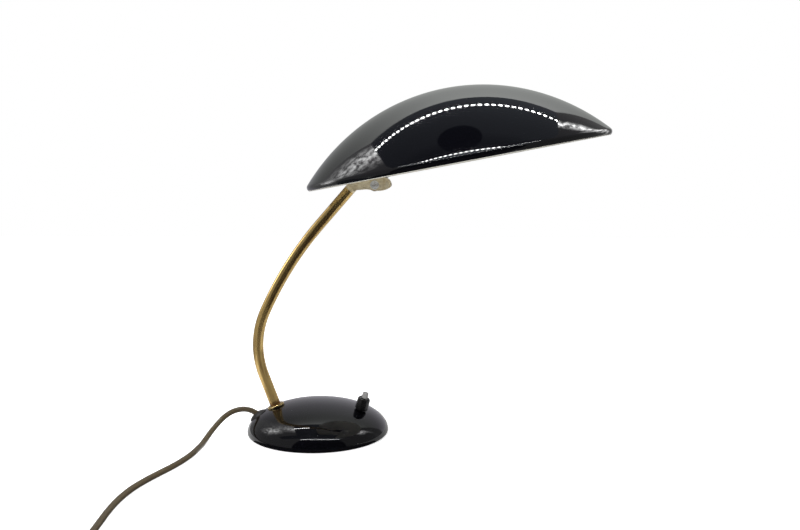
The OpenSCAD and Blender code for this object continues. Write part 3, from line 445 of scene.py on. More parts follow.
# %% Tent walls
PAPER_LOW = (0.98, 0.96, 1.04)
PAPER_HIGH = (0.97, 1, 0.97)
DARK_GREY_BLUE = (0.82, 0.9, 1.0)
STREAK_Y = 150
PATCH_REACH_Y = 90
PATCH_REACH_Z = 150
PATCH_LEVEL = 5


def room_place(tree):
    """X, Y and Z of a point of a wall, in metres."""
    place = put(tree, "ShaderNodeTexCoord").outputs["Object"]
    return put(tree, "ShaderNodeSeparateXYZ", {0: place}).outputs


def wall_paper():
    """The back sweep, dull at the level of the lamp and brighter near the floor and the roof.

    It is dimmer to the left, faintly violet low down and faintly green above.
    """
    material, tree, light = glow("back paper", PAPER_HIGH, 1)
    room = room_place(tree)
    tint = blend_colours(tree, ramp(tree, room["Z"], 0.2, 0.45), PAPER_LOW, PAPER_HIGH)
    tree.links.new(tint, light.inputs["Color"])
    low = ramp(tree, room["Z"], 0.2, 0.0, 0.45, 0.66)
    high = calc(tree, "POWER", ramp(tree, room["Z"], 0.38, ROOF_Z * MM), 2)
    left_dimmer = ramp(tree, room["X"], -0.25, 0.1, 0.6, 1.0)
    level = calc(tree, "MULTIPLY", calc(tree, "ADD", low, high), left_dimmer)
    tree.links.new(level, light.inputs["Strength"])
    return material


def near(tree, value, mid, reach):
    """1 where the value is mid millimetres, down to 0 where it is reach away."""
    off = calc(tree, "ABSOLUTE", calc(tree, "SUBTRACT", value, mid * MM))
    return ramp(tree, off, 0.0, reach * MM, 1.0, 0.0)


def silver_cloth(name, still, hottest, spread, patch_y, patch_z):
    """Crumpled silver cloth: an even glow, a hot streak near the rear lamp row, and a patch.

    The streak fades downwards and over spread millimetres to its sides.
    """
    material, tree, light = glow(name, (1, 1, 1), 1)
    room = room_place(tree)
    crumple = ramp(tree, noise(tree, where(tree), 38, detail=4, rough=0.65), 0.4, 0.64, 0.15, 2.0)
    level = calc(tree, "POWER", ramp(tree, room["Z"], 0.2, 0.75, 0.1, 1.0), 2)
    beside_row = calc(tree, "POWER", near(tree, room["Y"], STREAK_Y, spread), 1.5)
    streak = calc(tree, "MULTIPLY", calc(tree, "MULTIPLY", beside_row, level), hottest)
    patch = calc(tree, "MULTIPLY", near(tree, room["Y"], patch_y, PATCH_REACH_Y),
                 near(tree, room["Z"], patch_z, PATCH_REACH_Z))
    hot = calc(tree, "ADD", streak, calc(tree, "MULTIPLY", patch, PATCH_LEVEL))
    glare = calc(tree, "ADD", calc(tree, "MULTIPLY", hot, crumple), still)
    tree.links.new(glare, light.inputs["Strength"])
    return material


def roof_board():
    """Dark board, lit in front of the middle lamp row and a little brighter to the right."""
    material, tree, light = glow("roof board", DARK_GREY_BLUE, 1)
    room = room_place(tree)
    in_front = calc(tree, "LESS_THAN", room["Y"], LAMP_ROWS_Y[1] * MM)
    plain = ramp(tree, room["Y"], -0.15, -0.08, 0.1, 0.17)
    glare = calc(tree, "ADD", plain, calc(tree, "MULTIPLY", in_front, 0.75))
    to_the_right = ramp(tree, room["X"], -0.2, 0.25, 0.75, 1.15)
    tree.links.new(calc(tree, "MULTIPLY", glare, to_the_right), light.inputs["Strength"])
    return material


def tent_walls():
    (x0, x1), (y0, y1), z = TENT_X, TENT_Y, ROOF_Z
    back = panel("tent_back", [(x0, y1, 0), (x1, y1, 0), (x1, y1, z), (x0, y1, z)], wall_paper())
    left = panel("tent_left", [(x0, y0, 0), (x0, y1, 0), (x0, y1, z), (x0, y0, z)],
                 silver_cloth("left cloth", still=0.3, hottest=5, spread=160, patch_y=60, patch_z=310))
    right = panel("tent_right", [(x1, y0, 0), (x1, y1, 0), (x1, y1, z), (x1, y0, z)],
                  silver_cloth("right cloth", still=0.2, hottest=9, spread=50, patch_y=85, patch_z=480))
    roof = level_panel("tent_roof", TENT_X, TENT_Y, z, roof_board())
    hole_mid = Vector((*HOLE_PLACE, z - HOLE_DROP))
    round_hole = [hole_mid + HOLE_R * Vector((cos(radians(a)), sin(radians(a)), 0))
                  for a in range(0, 360, 6)]
    hole = panel("roof_hole", round_hole, glow("hole", (0.7, 0.85, 1), 0.02)[0])
    flag = level_panel("flag", FLAG_X, FLAG_Y, FLAG_Z, glow("flag", DARK_GREY_BLUE, 0.12)[0])
    flag.visible_diffuse = False
    for piece in (back, left, right, roof, hole, flag):
        reflected_only(piece)


tent_walls()

# %% [markdown]
# The rows of lamps are one small disc set again and again along a line, which is just what
# instances are for.


# %% Lamp rows
def lamp_row_tree():
    tree, given, out = shape_tree("lamp_row", Spacing="NodeSocketFloat", Lamp_radius="NodeSocketFloat",
                                  Finish="NodeSocketMaterial")
    line = put(tree, "GeometryNodeMeshToCurve", {"Mesh": given["Geometry"]}).outputs[0]
    places = put(tree, "GeometryNodeCurveToPoints", {"Curve": line, "Length": given["Spacing"]},
                 mode="LENGTH").outputs[0]
    disc = put(tree, "GeometryNodeMeshCircle", {"Vertices": 12, "Radius": given["Lamp radius"]},
               fill_type="NGON").outputs[0]
    lamps = put(tree, "GeometryNodeInstanceOnPoints", {"Points": places, "Instance": disc}).outputs[0]
    real = put(tree, "GeometryNodeRealizeInstances", {0: lamps}).outputs[0]
    done = put(tree, "GeometryNodeSetMaterial", {"Geometry": real, "Material": given["Finish"]}).outputs[0]
    tree.links.new(done, out.inputs[0])
    return tree


def lamp_rows():
    tree = lamp_row_tree()
    light = glow("lamp", (1, 1, 1), LAMP_LEVEL)[0]
    z = ROOF_Z - LAMP_DROP
    for i, y in enumerate(LAMP_ROWS_Y):
        ends = [(TENT_X[0] + ROW_END_GAP, y, z), (TENT_X[1] - ROW_END_GAP, y, z)]
        row = run_tree(tree, line_mesh("row", ends), f"lamp_row_{i}", Spacing=LAMP_SPACING * MM,
                       Lamp_radius=LAMP_R * MM, Finish=light)
        row.visible_diffuse = False
        reflected_only(row)


lamp_rows()
print(len(LAMP_ROWS_Y), "rows of lamps")

# %% Floor, soft light and world
FLOOR_HALF = 3000
DARK_LIFT = 0.2
DARK_OUTLINE = [
    (-FLOOR_HALF, -FLOOR_HALF), (FLOOR_HALF, -FLOOR_HALF), (FLOOR_HALF, -330), (490, -330), (170, -110),
    (80, -40), (-80, -40), (-150, -110), (-300, -300), (-FLOOR_HALF, -300)]


def lit_by_area(name, place, size, power, towards):
    data = bpy.data.lights.new(name, "AREA")
    data.shape = "RECTANGLE"
    data.size, data.size_y = size[0] * MM, size[1] * MM
    data.energy = power
    lamp = bpy.data.objects.new(name, data)
    scene.collection.objects.link(lamp)
    lamp.location = Vector(place) * MM
    lamp.rotation_euler = (Vector(towards) * MM - lamp.location).to_track_quat("-Z", "Y").to_euler()
    lamp.visible_glossy = False
    lamp.visible_camera = False


def floor():
    """White ground, and over it a sheet that only reflections see, the dark front of the room."""
    material = bpy.data.materials.new("floor")
    material.use_nodes = True
    tree = material.node_tree
    shader = tree.nodes["Principled BSDF"]
    shader.inputs["Base Color"].default_value = (0.86, 0.86, 0.86, 1)
    shader.inputs["Roughness"].default_value = 0.9
    shader.inputs["Specular IOR Level"].default_value = 0
    path = put(tree, "ShaderNodeLightPath").outputs
    tree.links.new(calc(tree, "MULTIPLY", path["Is Camera Ray"], 0.8), shader.inputs["Emission Strength"])
    shader.inputs["Emission Color"].default_value = (1, 1, 1, 1)
    ends = (-FLOOR_HALF, FLOOR_HALF)
    level_panel("floor", ends, ends, 0, material)
    outline = [(x, y, DARK_LIFT) for x, y in DARK_OUTLINE]
    dark = panel("dark_front", outline, glow("dark", (1, 1, 1), 0.05)[0])
    dark.visible_diffuse = False
    reflected_only(dark)


def white_room():
    """A world that is white to the camera, dimmer as a light, and nearly black in reflections."""
    world = bpy.data.worlds.new("room")
    scene.world = world
    world.use_nodes = True
    tree = world.node_tree
    path = put(tree, "ShaderNodeLightPath").outputs
    seen = calc(tree, "MAXIMUM", path["Is Camera Ray"], path["Is Transmission Ray"])
    plain = put(tree, "ShaderNodeMix", {"Factor": seen, "A": 0.45, "B": 1.0}).outputs[0]
    glossy = path["Is Glossy Ray"]
    strength = put(tree, "ShaderNodeMix", {"Factor": glossy, "A": plain, "B": 0.02}).outputs[0]
    background = tree.nodes["Background"]
    background.inputs["Color"].default_value = (1, 1, 1, 1)
    tree.links.new(strength, background.inputs["Strength"])


floor()
white_room()
lit_by_area("top_light", place=(90, -60, 1000), size=(700, 500), power=9, towards=(90, 0, 0))
lit_by_area("front_light", place=(-200, -900, 600), size=(500, 400), power=5, towards=(90, 0, 150))
scene.view_settings.view_transform = "Standard"
print("studio: tent", TENT_X, TENT_Y, "roof at", ROOF_Z)


# %% [markdown]
# ## Finishes
#
# Each finish below is one surface of the lamp: glossy black enamel, the white enamel inside
# the shade, brass gone brown in streaks, paler brass on the hinge, plated steel, bakelite,
# rubber, opal glass and the plain materials under the base.

# %% Enamel
ENAMEL_BLACK = (0.0015, 0.0015, 0.0025)
DUST = (0.25, 0.25, 0.24)


def black_enamel():
    material, tree, shader = new_material("black enamel", ENAMEL_BLACK, 0.06, IOR=1.5)
    place = where(tree)
    dust = specks(tree, place, 14, 0.5)
    film = noise(tree, place, 40)
    tree.links.new(blend_colours(tree, dust, ENAMEL_BLACK, DUST), shader.inputs["Base Color"])
    tree.links.new(ramp(tree, film, 0.35, 0.75, 0.03, 0.09), shader.inputs["Roughness"])
    bump(tree, shader, noise(tree, place, 2.5, detail=1), 0.004)
    return material


def white_enamel():
    material, tree, shader = new_material("white enamel", (0.66, 0.65, 0.58), 0.3)
    place = where(tree)
    colour = blend_colours(tree, noise(tree, place, 50), (0.68, 0.67, 0.61), (0.6, 0.58, 0.5))
    tree.links.new(colour, shader.inputs["Base Color"])
    bump(tree, shader, noise(tree, place, 2.0, detail=1), 0.01)
    return material


# %% Brass
def aged_brass():
    """Brass with brown streaks and spots along the tube and a dark foot. Low down it is less metallic, so
    it looks duller and lighter: painted light on the lower tube.
    """
    material, tree, shader = new_material("aged brass", (0.68, 0.44, 0.14), 0.2, metal=0.95)
    along = where(tree, "straight", (1, 1, 0.06))
    close = where(tree, "straight")
    streaks = ramp(tree, noise(tree, along, 3.5, detail=2), 0.5, 0.66)
    spots = specks(tree, close, 7, 2.2)
    blotch = ramp(tree, noise(tree, close, 12, detail=2), 0.5, 0.66)
    streaky = calc(tree, "MULTIPLY", streaks, 0.75)
    stain = calc(tree, "MAXIMUM", streaky, calc(tree, "MULTIPLY", spots, blotch))
    run = put(tree, "ShaderNodeSeparateXYZ", {0: close}).outputs[2]
    # Painted light: less metallic towards the foot, so the lower tube shows more of its colour and looks
    # lighter.
    tree.links.new(ramp(tree, run, 0.06, 0.13, 0.71, 0.95), shader.inputs["Metallic"])
    foot = ramp(tree, run, 0.008, 0.0045, 0.0, 0.95)
    stain = calc(tree, "MAXIMUM", stain, foot)
    colour = blend_colours(tree, stain, (0.72, 0.5, 0.19), (0.2, 0.1, 0.03))
    tree.links.new(colour, shader.inputs["Base Color"])
    tree.links.new(ramp(tree, stain, 0, 1, 0.17, 0.3), shader.inputs["Roughness"])
    bump(tree, shader, noise(tree, along, 2.5, detail=1), 0.004)
    return material


def bright_brass():
    material, tree, shader = new_material("bright brass", (0.72, 0.56, 0.26), 0.2, metal=1.0)
    place = where(tree)
    stain = ramp(tree, noise(tree, place, 4, detail=4), 0.5, 0.75)
    colour = blend_colours(tree, stain, (0.74, 0.58, 0.28), (0.3, 0.18, 0.07))
    tree.links.new(colour, shader.inputs["Base Color"])
    tree.links.new(ramp(tree, stain, 0, 1, 0.18, 0.4), shader.inputs["Roughness"])
    bump(tree, shader, noise(tree, place, 0.8), 0.01)
    return material


def pale_brass():
    material, tree, shader = new_material("pale brass", (0.88, 0.77, 0.53), 0.4, metal=0.5)
    place = where(tree)
    stain = ramp(tree, noise(tree, place, 6, detail=5, rough=0.6), 0.45, 0.8)
    colour = blend_colours(tree, stain, (0.93, 0.82, 0.58), (0.7, 0.55, 0.3))
    tree.links.new(colour, shader.inputs["Base Color"])
    tree.links.new(ramp(tree, noise(tree, place, 2), 0.3, 0.7, 0.36, 0.52), shader.inputs["Roughness"])
    bump(tree, shader, noise(tree, place, 0.7), 0.012)
    return material


# %% Steel and iron
def plated_steel():
    material, tree, shader = new_material("plated steel", (0.85, 0.85, 0.84), 0.28, metal=0.5)
    place = where(tree)
    dull = noise(tree, place, 3, detail=4)
    colour = blend_colours(tree, ramp(tree, dull, 0.4, 0.75), (0.9, 0.9, 0.89), (0.6, 0.58, 0.54))
    tree.links.new(colour, shader.inputs["Base Color"])
    tree.links.new(ramp(tree, dull, 0.3, 0.7, 0.22, 0.45), shader.inputs["Roughness"])
    bump(tree, shader, noise(tree, place, 0.5), 0.01)
    return material


def rough_iron():
    material, tree, shader = new_material("cast iron", (0.06, 0.06, 0.065), 0.7, metal=0.6)
    place = where(tree)
    bump(tree, shader, noise(tree, place, 2, detail=5), 0.3)
    tree.links.new(ramp(tree, noise(tree, place, 6), 0.3, 0.7, 0.55, 0.85), shader.inputs["Roughness"])
    return material


# %% Plastics, rubber, glass and felt
def moulded(name, colour, other, rough, **sockets):
    """A moulded plastic or rubber: slow mottling, and a fine grain in gloss and bump."""
    material, tree, shader = new_material(name, colour, rough, **sockets)
    place = where(tree)
    mottle = noise(tree, place, 5, detail=4)
    tree.links.new(blend_colours(tree, mottle, colour, other), shader.inputs["Base Color"])
    gloss = ramp(tree, noise(tree, place, 1.5), 0.3, 0.7, rough * 0.8, rough * 1.3)
    tree.links.new(gloss, shader.inputs["Roughness"])
    bump(tree, shader, noise(tree, place, 0.6), 0.02)
    return material


def opal_glass():
    material, tree, shader = new_material(
        "opal glass", (0.9, 0.9, 0.88), 0.12, Transmission_Weight=0.35, IOR=1.5)
    place = where(tree)
    bump(tree, shader, noise(tree, place, 30, detail=1), 0.05)
    tree.links.new(ramp(tree, noise(tree, place, 8), 0.3, 0.7, 0.08, 0.2), shader.inputs["Roughness"])
    return material


def green_felt():
    material, tree, shader = new_material("felt", (0.02, 0.05, 0.03), 0.95, Sheen_Weight=0.4)
    fibres = noise(tree, where(tree, stretch=(1, 4, 1)), 1.2, detail=5)
    colour = blend_colours(tree, fibres, (0.012, 0.035, 0.02), (0.05, 0.1, 0.06))
    tree.links.new(colour, shader.inputs["Base Color"])
    bump(tree, shader, noise(tree, where(tree), 0.5, detail=4), 0.25)
    return material


BLACK_ENAMEL = black_enamel()
WHITE_ENAMEL = white_enamel()
AGED_BRASS = aged_brass()
BRIGHT_BRASS = bright_brass()
PALE_BRASS = pale_brass()
STEEL = plated_steel()
IRON = rough_iron()
BAKELITE = moulded("bakelite", (0.004, 0.004, 0.004), (0.009, 0.008, 0.008), 0.25)
RUBBER = moulded("rubber", (0.012, 0.011, 0.011), (0.02, 0.018, 0.018), 0.4)
PORCELAIN = moulded("porcelain", (0.8, 0.78, 0.72), (0.7, 0.67, 0.6), 0.15)
FIBRE = moulded("red fibre", (0.2, 0.06, 0.03), (0.12, 0.04, 0.02), 0.7)
GREY_BUTTON = moulded("grey button", (0.38, 0.375, 0.37), (0.3, 0.295, 0.29), 0.3)
BROWN_PLASTIC = moulded("brown plastic", (0.06, 0.035, 0.025), (0.035, 0.02, 0.015), 0.35)
BROWN_LEAD = moulded("brown lead", (0.09, 0.065, 0.035), (0.05, 0.036, 0.018), 0.4)
TIE = moulded("tie", (0.02, 0.02, 0.02), (0.03, 0.03, 0.03), 0.5)
OPAL = opal_glass()
FELT = green_felt()
print(len(bpy.data.materials), "materials")

# %% [markdown]
# ## Spinning an outline
#
# Shade, base and ring are sheet and bar metal formed on a lathe, so each is one outline spun
# about an axis. The tree lays a grid with one column per outline point, looks each column's
# point up with Sample Index and turns it by its row's angle. Faces past the point number
# `Split` get the second finish, as the shade's white inside does.


# %% Spin tree
def spin_tree():
    tree, given, out = shape_tree("spun_outline", Steps="NodeSocketInt", Split="NodeSocketInt",
                                  Finish="NodeSocketMaterial", Inner_finish="NodeSocketMaterial")
    count = put(tree, "GeometryNodeAttributeDomainSize", {0: given["Geometry"]}).outputs[0]
    grid = put(tree, "GeometryNodeMeshGrid",
               {"Vertices X": calc(tree, "ADD", given["Steps"], 1), "Vertices Y": count}).outputs[0]
    index = put(tree, "GeometryNodeInputIndex").outputs[0]
    column = calc(tree, "MODULO", index, count)
    row = calc(tree, "FLOOR", calc(tree, "DIVIDE", calc(tree, "ADD", index, 0.5), count))
    angle = calc(tree, "MULTIPLY", row, calc(tree, "DIVIDE", 2 * pi, given["Steps"]))
    place = put(tree, "GeometryNodeInputPosition").outputs[0]
    point = put(tree, "GeometryNodeSampleIndex",
                {"Geometry": given["Geometry"], "Value": place, "Index": column},
                data_type="FLOAT_VECTOR").outputs[0]
    turned = put(tree, "ShaderNodeVectorRotate", {"Vector": point, "Angle": angle},
                 rotation_type="Z_AXIS").outputs[0]
    spun = put(tree, "GeometryNodeSetPosition", {"Geometry": grid, "Position": turned}).outputs[0]
    first = put(tree, "GeometryNodeSetMaterial", {"Geometry": spun, "Material": given["Finish"]}).outputs[0]
    face_column = calc(tree, "MODULO", index, calc(tree, "SUBTRACT", count, 1))
    past = calc(tree, "GREATER_THAN", calc(tree, "ADD", face_column, 0.5), given["Split"])
    second = put(tree, "GeometryNodeSetMaterial", {"Geometry": first, "Selection": past,
                                                   "Material": given["Inner finish"]}).outputs[0]
    welded = put(tree, "GeometryNodeMergeByDistance", {"Geometry": second, "Distance": 1e-6}).outputs[0]
    outward = put(tree, "GeometryNodeFlipFaces", {"Mesh": welded}).outputs[0]
    smooth = put(tree, "GeometryNodeSetShadeSmooth", {0: outward}).outputs[0]
    real = put(tree, "GeometryNodeRealizeInstances", {0: smooth}).outputs[0]
    tree.links.new(real, out.inputs[0])
    return tree


SPIN_TREE = spin_tree()
NO_SPLIT = 100000


def spin(name, outline, place, steps, finish, inner=None, split=NO_SPLIT):
    """The outline, points of (radius, height), spun about its own Z and put in place."""
    mesh = line_mesh(name, [(r, 0, z) for r, z in outline])
    piece = run_tree(SPIN_TREE, mesh, name, Steps=steps, Split=split, Finish=finish,
                     Inner_finish=inner or finish)
    piece.data.transform(place)
    sharpen(piece, 40)
    return piece


def arc(mid, radius, start, stop, steps):
    """Points on an arc, bearings in degrees from the outline's +r axis."""
    turn = [radians(start + (stop - start) * i / steps) for i in range(steps + 1)]
    return [(mid[0] + radius * cos(a), mid[1] + radius * sin(a)) for a in turn]


def join(name, pieces):
    """One object out of several, with their meshes as they lie."""
    with bpy.context.temp_override(active_object=pieces[0], selected_editable_objects=pieces):
        bpy.ops.object.join()
    pieces[0].name = name
    return pieces[0]


def settle(piece, body, slot, *replaced):
    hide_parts(*replaced)
    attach(piece, body)
    print(piece.name, len(piece.data.polygons), "faces, for", ", ".join(replaced))


# %% [markdown]
# ## The shade
#
# The dome is a flattened cap, close to an ellipsoid, whose rim is rolled under. Its outline
# follows the same formula as the solid's: a fall that grows with the square of the radius,
# then an arc for the rim, then the same line back on the inside. The white of the inside
# begins a few points before the end of the roll, so a thin pale line shows under the black.

# %% Shade
PIVOT_BACK = 94.2
PIVOT_DROP = 6.1
SHADE_TILT = 10.8
SHADE_R = 167.5
CROWN_R = 217.7
CROWN_SHAPE = 0.9
RIM_R = 4.6
RIM_START = 41.3
RIM_STOP = -57.5
SHADE_WALL = 0.9
WHITE_ROLL_POINTS = 3


def fall(r):
    """How far the dome has come down from its crown at radius r."""
    return r * r / CROWN_R / (1 + sqrt(1 - CROWN_SHAPE * (r / CROWN_R) ** 2))


def slope(r):
    return atan(r / CROWN_R / sqrt(1 - CROWN_SHAPE * (r / CROWN_R) ** 2))


RIM_JOIN = SHADE_R - RIM_R + RIM_R * cos(radians(RIM_START))
RIM_FALL = fall(RIM_JOIN) + RIM_R * sin(radians(RIM_START))
SHADE_H = RIM_FALL - RIM_R * sin(radians(RIM_STOP))


def joint_named(name):
    """A joint of the lamp, as the frame records it."""
    return next(j for j in frame["record"]["behaviour"]["joints"] if j["name"] == name)


def shade_place():
    pivot = Vector(joint_named("shade_tilt")["pos_m"])
    tilt = Matrix.Rotation(radians(-SHADE_TILT), 4, "Y")
    out = Matrix.Translation(Vector((PIVOT_BACK, 0, PIVOT_DROP)) * MM)
    return Matrix.Translation(pivot) @ tilt @ out


def dome_line(inset, steps=72):
    radii = [RIM_JOIN * i / steps for i in range(steps + 1)]
    return [(r - inset * sin(slope(r)), SHADE_H - fall(r) - inset * cos(slope(r))) for r in radii]


def rim_line(inset):
    return arc((SHADE_R - RIM_R, SHADE_H - RIM_FALL), RIM_R - inset, RIM_START, RIM_STOP, 14)[1:]


AT_SHADE = shade_place()
outside = dome_line(0) + rim_line(0)
inside = rim_line(SHADE_WALL)[::-1] + dome_line(SHADE_WALL)[::-1]
shade = spin("shade_dome", outside + inside, AT_SHADE, 256, BLACK_ENAMEL, WHITE_ENAMEL,
             split=len(outside) - WHITE_ROLL_POINTS)
settle(shade, "shade", "black_enamel", "shade_shell")

# %% [markdown]
# ## The base
#
# The base is a flatter dome, pressed from sheet, with a tightly curled edge and a narrow hem
# under it. Under the arm's ring and the switch the sheet is backed by a flat seat, so that
# what is clamped there stands square. Those two seats are small spun discs inside the dome.

# %% Base
BASE_R = 79.4
BASE_H = 35.8
BASE_WALL = 1.2
BASE_EDGE_R = 2.8
HEM_W = 2.0
FELT_PROUD = 0.6
LIP_Z = FELT_PROUD + BASE_EDGE_R
DOME_RISE = BASE_H - LIP_Z
SEAT_LIFT = 0.6
SEAT_TOP = -1.2
SEAT_FOOT = -2.8
FOOT_SEAT_R = 10
SWITCH_SEAT_R = 7.2
FOOT_AT = 47.6
FOOT_LEAN = 20.3
SWITCH_AT = 50.0
SWITCH_BEARING = -12.0
SWITCH_LEAN = 16.8


def dome_z(r):
    return LIP_Z + DOME_RISE * sqrt(1 - (r / BASE_R) ** 2)


def on_dome(r, bearing, lean):
    """Matrix of a seat's place on the base, with +Z off its surface."""
    turn = Matrix.Rotation(radians(bearing), 4, "Z")
    out = Matrix.Translation(Vector((r, 0, dome_z(r))) * MM)
    lift = Matrix.Translation(Vector((0, 0, SEAT_LIFT)) * MM)
    return turn @ out @ Matrix.Rotation(radians(lean), 4, "Y") @ lift


def base_outline():
    dome = [(BASE_R * sin(radians(a)), LIP_Z + DOME_RISE * cos(radians(a))) for a in range(0, 90, 2)]
    edge = arc((BASE_R - BASE_EDGE_R, LIP_Z), BASE_EDGE_R, 0, -90, 10)
    hem_in = BASE_R - BASE_EDGE_R - HEM_W
    back = arc((BASE_R - BASE_EDGE_R, LIP_Z), BASE_EDGE_R - BASE_WALL, -90, 0, 6)
    inner = [((BASE_R - BASE_WALL) * sin(radians(a)), LIP_Z + (DOME_RISE - BASE_WALL) * cos(radians(a)))
             for a in range(84, -1, -6)]
    return dome + edge + [(hem_in, FELT_PROUD), (hem_in, FELT_PROUD + BASE_WALL)] + back + inner


def seat(name, r, place):
    outline = [(0, SEAT_TOP), (r, SEAT_TOP), (r, SEAT_FOOT), (0, SEAT_FOOT)]
    return spin(name, outline, place, 64, BLACK_ENAMEL)


AT_FOOT = on_dome(FOOT_AT, 180, FOOT_LEAN)
AT_SWITCH = on_dome(SWITCH_AT, SWITCH_BEARING, SWITCH_LEAN)
base = join("base_dome", [
    spin("base_dome", base_outline(), Matrix(), 256, BLACK_ENAMEL),
    seat("foot_seat", FOOT_SEAT_R, AT_FOOT),
    seat("switch_seat", SWITCH_SEAT_R, AT_SWITCH)])
settle(base, "stand", "black_enamel", "base_shell")

# %% [markdown]
# ## The arm
#
# The arm is one brass tube, bent twice in the same sense: a tight bow low down and a long
# easy one above it, with straight ends. Its middle line is two straights and two arcs. The
# ring at its foot is turned, and its underside is then set down on the dome.

# %% Arm
TUBE_R = 6.0
FOOT_RUN = 38.3
BOW_R = 95.8
BOW_SWEEP = 44.3
UPPER_R = 398.0
UPPER_SWEEP = 16.8
TOP_RUN = 49.8
BEND_STEPS = 40
STRAIGHT_STEPS = 8
PIVOT_OFF = Vector((28.1, 0, 5.9))
TURN_1 = BOW_SWEEP - FOOT_LEAN
TURN_2 = TURN_1 + UPPER_SWEEP


def ahead(angle):
    """Direction along the tube where it leans by angle."""
    return Vector((sin(radians(angle)), 0, cos(radians(angle))))


def beside(angle):
    """Direction square to the tube there, to the right."""
    return Vector((cos(radians(angle)), 0, -sin(radians(angle))))


foot = AT_FOOT.translation / MM
bow_start = foot + FOOT_RUN * ahead(-FOOT_LEAN)
bow_mid = bow_start + BOW_R * beside(-FOOT_LEAN)
upper_mid = bow_mid - BOW_R * beside(TURN_1) + UPPER_R * beside(TURN_1)
upper_end = upper_mid - UPPER_R * beside(TURN_2)
tube_end = upper_end + TOP_RUN * ahead(TURN_2)
pivot = tube_end + PIVOT_OFF


def straight_run(start, run, angle):
    return [start + run * i / STRAIGHT_STEPS * ahead(angle) for i in range(STRAIGHT_STEPS + 1)]


def bend(mid, radius, angle, sweep):
    return [mid - radius * beside(angle + sweep * i / BEND_STEPS) for i in range(BEND_STEPS + 1)]


def arm_line():
    """The tube's middle line. Each stretch but the last leaves its end to the next one."""
    return [*straight_run(foot, FOOT_RUN, -FOOT_LEAN)[:-1],
            *bend(bow_mid, BOW_R, -FOOT_LEAN, BOW_SWEEP)[:-1],
            *bend(upper_mid, UPPER_R, TURN_1, UPPER_SWEEP)[:-1],
            *straight_run(upper_end, TOP_RUN, TURN_2)]


arm = tube("arm", arm_line(), TUBE_R, AGED_BRASS, sides=64)
settle(arm, "stand", "brass", "arm_tube")

# %% Ring at the foot
COLLAR_R = 9.6
COLLAR_H = 3.6
COLLAR_UP = 2.0
COLLAR_GAP = 0.05
COLLAR_EASE = 0.2
LEDGE_R = 5.25
ROUND = COLLAR_H / 2
BORE_R = TUBE_R + COLLAR_GAP
UNDERSIDE_R = (7.2, 6.6, 6, LEDGE_R)


def collar_outline():
    """Up the bore, over the half-round outside and back along the underside to the ledge."""
    bore = [(LEDGE_R, 0), (BORE_R, 0), (BORE_R, COLLAR_UP - COLLAR_EASE), (BORE_R + COLLAR_EASE, COLLAR_UP)]
    outer = arc((COLLAR_R - ROUND, COLLAR_UP - ROUND), ROUND, 90, -90, 20)
    return bore + outer + [(r, COLLAR_UP - COLLAR_H) for r in UNDERSIDE_R] + [(LEDGE_R, 0)]


collar = spin("foot_ring", collar_outline(), AT_FOOT, 96, BRIGHT_BRASS)
for v in collar.data.vertices:
    v.co.z = max(v.co.z, (dome_z(hypot(v.co.x, v.co.y) / MM) + COLLAR_GAP) * MM)
settle(collar, "stand", "brass", "arm_collar")

# %% [markdown]
# ## The hinge's cheeks
#
# Each cheek starts as a half-round spigot inside the end of the arm, steps out to the tube's
# own width, flattens over a short shoulder and runs out as a plate that holds the pivot. The
# spigot and shoulder are a lofted grid, whose rows go from a half circle to a straight line.
# The plate is its outline filled in. It is cut across five times where its end steps inwards,
# so that the step has points to bend at. Solidify gives the sheet its thickness.

# %% Cheek shape
TONGUE_T = 3.2
FRICTION_T = 1.0
CHEEK_T = 1.4
CHEEK_OUT = TONGUE_T / 2 + FRICTION_T + CHEEK_T
SPIGOT_R = 4.95
SPIGOT_RUN = 16.0
SHOULDER_RUN = 5.0
HALF_SLIT = 0.4
ACROSS = 24
STEP_FROM = Vector((14.0, 0, 8.0))
STEP_TO = Vector((17.0, 0, -4.4))
STEP_IN = 0.9
STEP_HALF = 0.7
STEP_CUTS = (-STEP_HALF, -0.3, 0, 0.3, STEP_HALF)
PLATE_MARKS = [
    (-15.1, -5.4), (-10.1, -4.9), (-5.6, -5.2), (-2.1, -5.9), (1.9, -6.4), (7.9, -6.2), (12.9, -4.9),
    (16.8, -2.8), (18.8, -0.4), (18.4, 2.6), (16, 6.4), (10.4, 8.4), (-0.6, 9), (-12.6, 8)]


def on_axis(run, side, y):
    """A point run along the tube's axis from its end and side across it, at depth y."""
    return tube_end + run * ahead(TURN_2) + side * beside(TURN_2) + Vector((0, y, 0))


def cheek_rows():
    """The grid's rows, from the half-round spigot to the flat start of the plate."""
    rows = [(-SPIGOT_RUN, SPIGOT_R), (-SPIGOT_RUN / 2, SPIGOT_R), (-0.3, SPIGOT_R), (0.1, SPIGOT_R + 0.2),
            (0.15, TUBE_R - 0.1), (0.4, TUBE_R)] + [(SHOULDER_RUN * i / 12, TUBE_R) for i in range(2, 13)]
    for run, radius in rows:
        edge = asin(HALF_SLIT / radius)
        flat = ease(max(0, run / SHOULDER_RUN))
        row = []
        for k in range(ACROSS + 1):
            part = 2 * k / ACROSS - 1
            angle = part * (pi / 2 - edge)
            side = (1 - flat) * radius * sin(angle) + flat * radius * part
            row.append(on_axis(run, side, -(1 - flat) * radius * cos(angle) - flat * CHEEK_OUT))
        yield row


def plate_outline(end_row):
    marks = [pivot + Vector((x, -CHEEK_OUT, z)) for x, z in PLATE_MARKS]
    leaving = on_axis(SHOULDER_RUN + 0.4, TUBE_R, -CHEEK_OUT)
    return curve_through([end_row[-1], leaving, *marks, end_row[0]], 4)[1:-1]


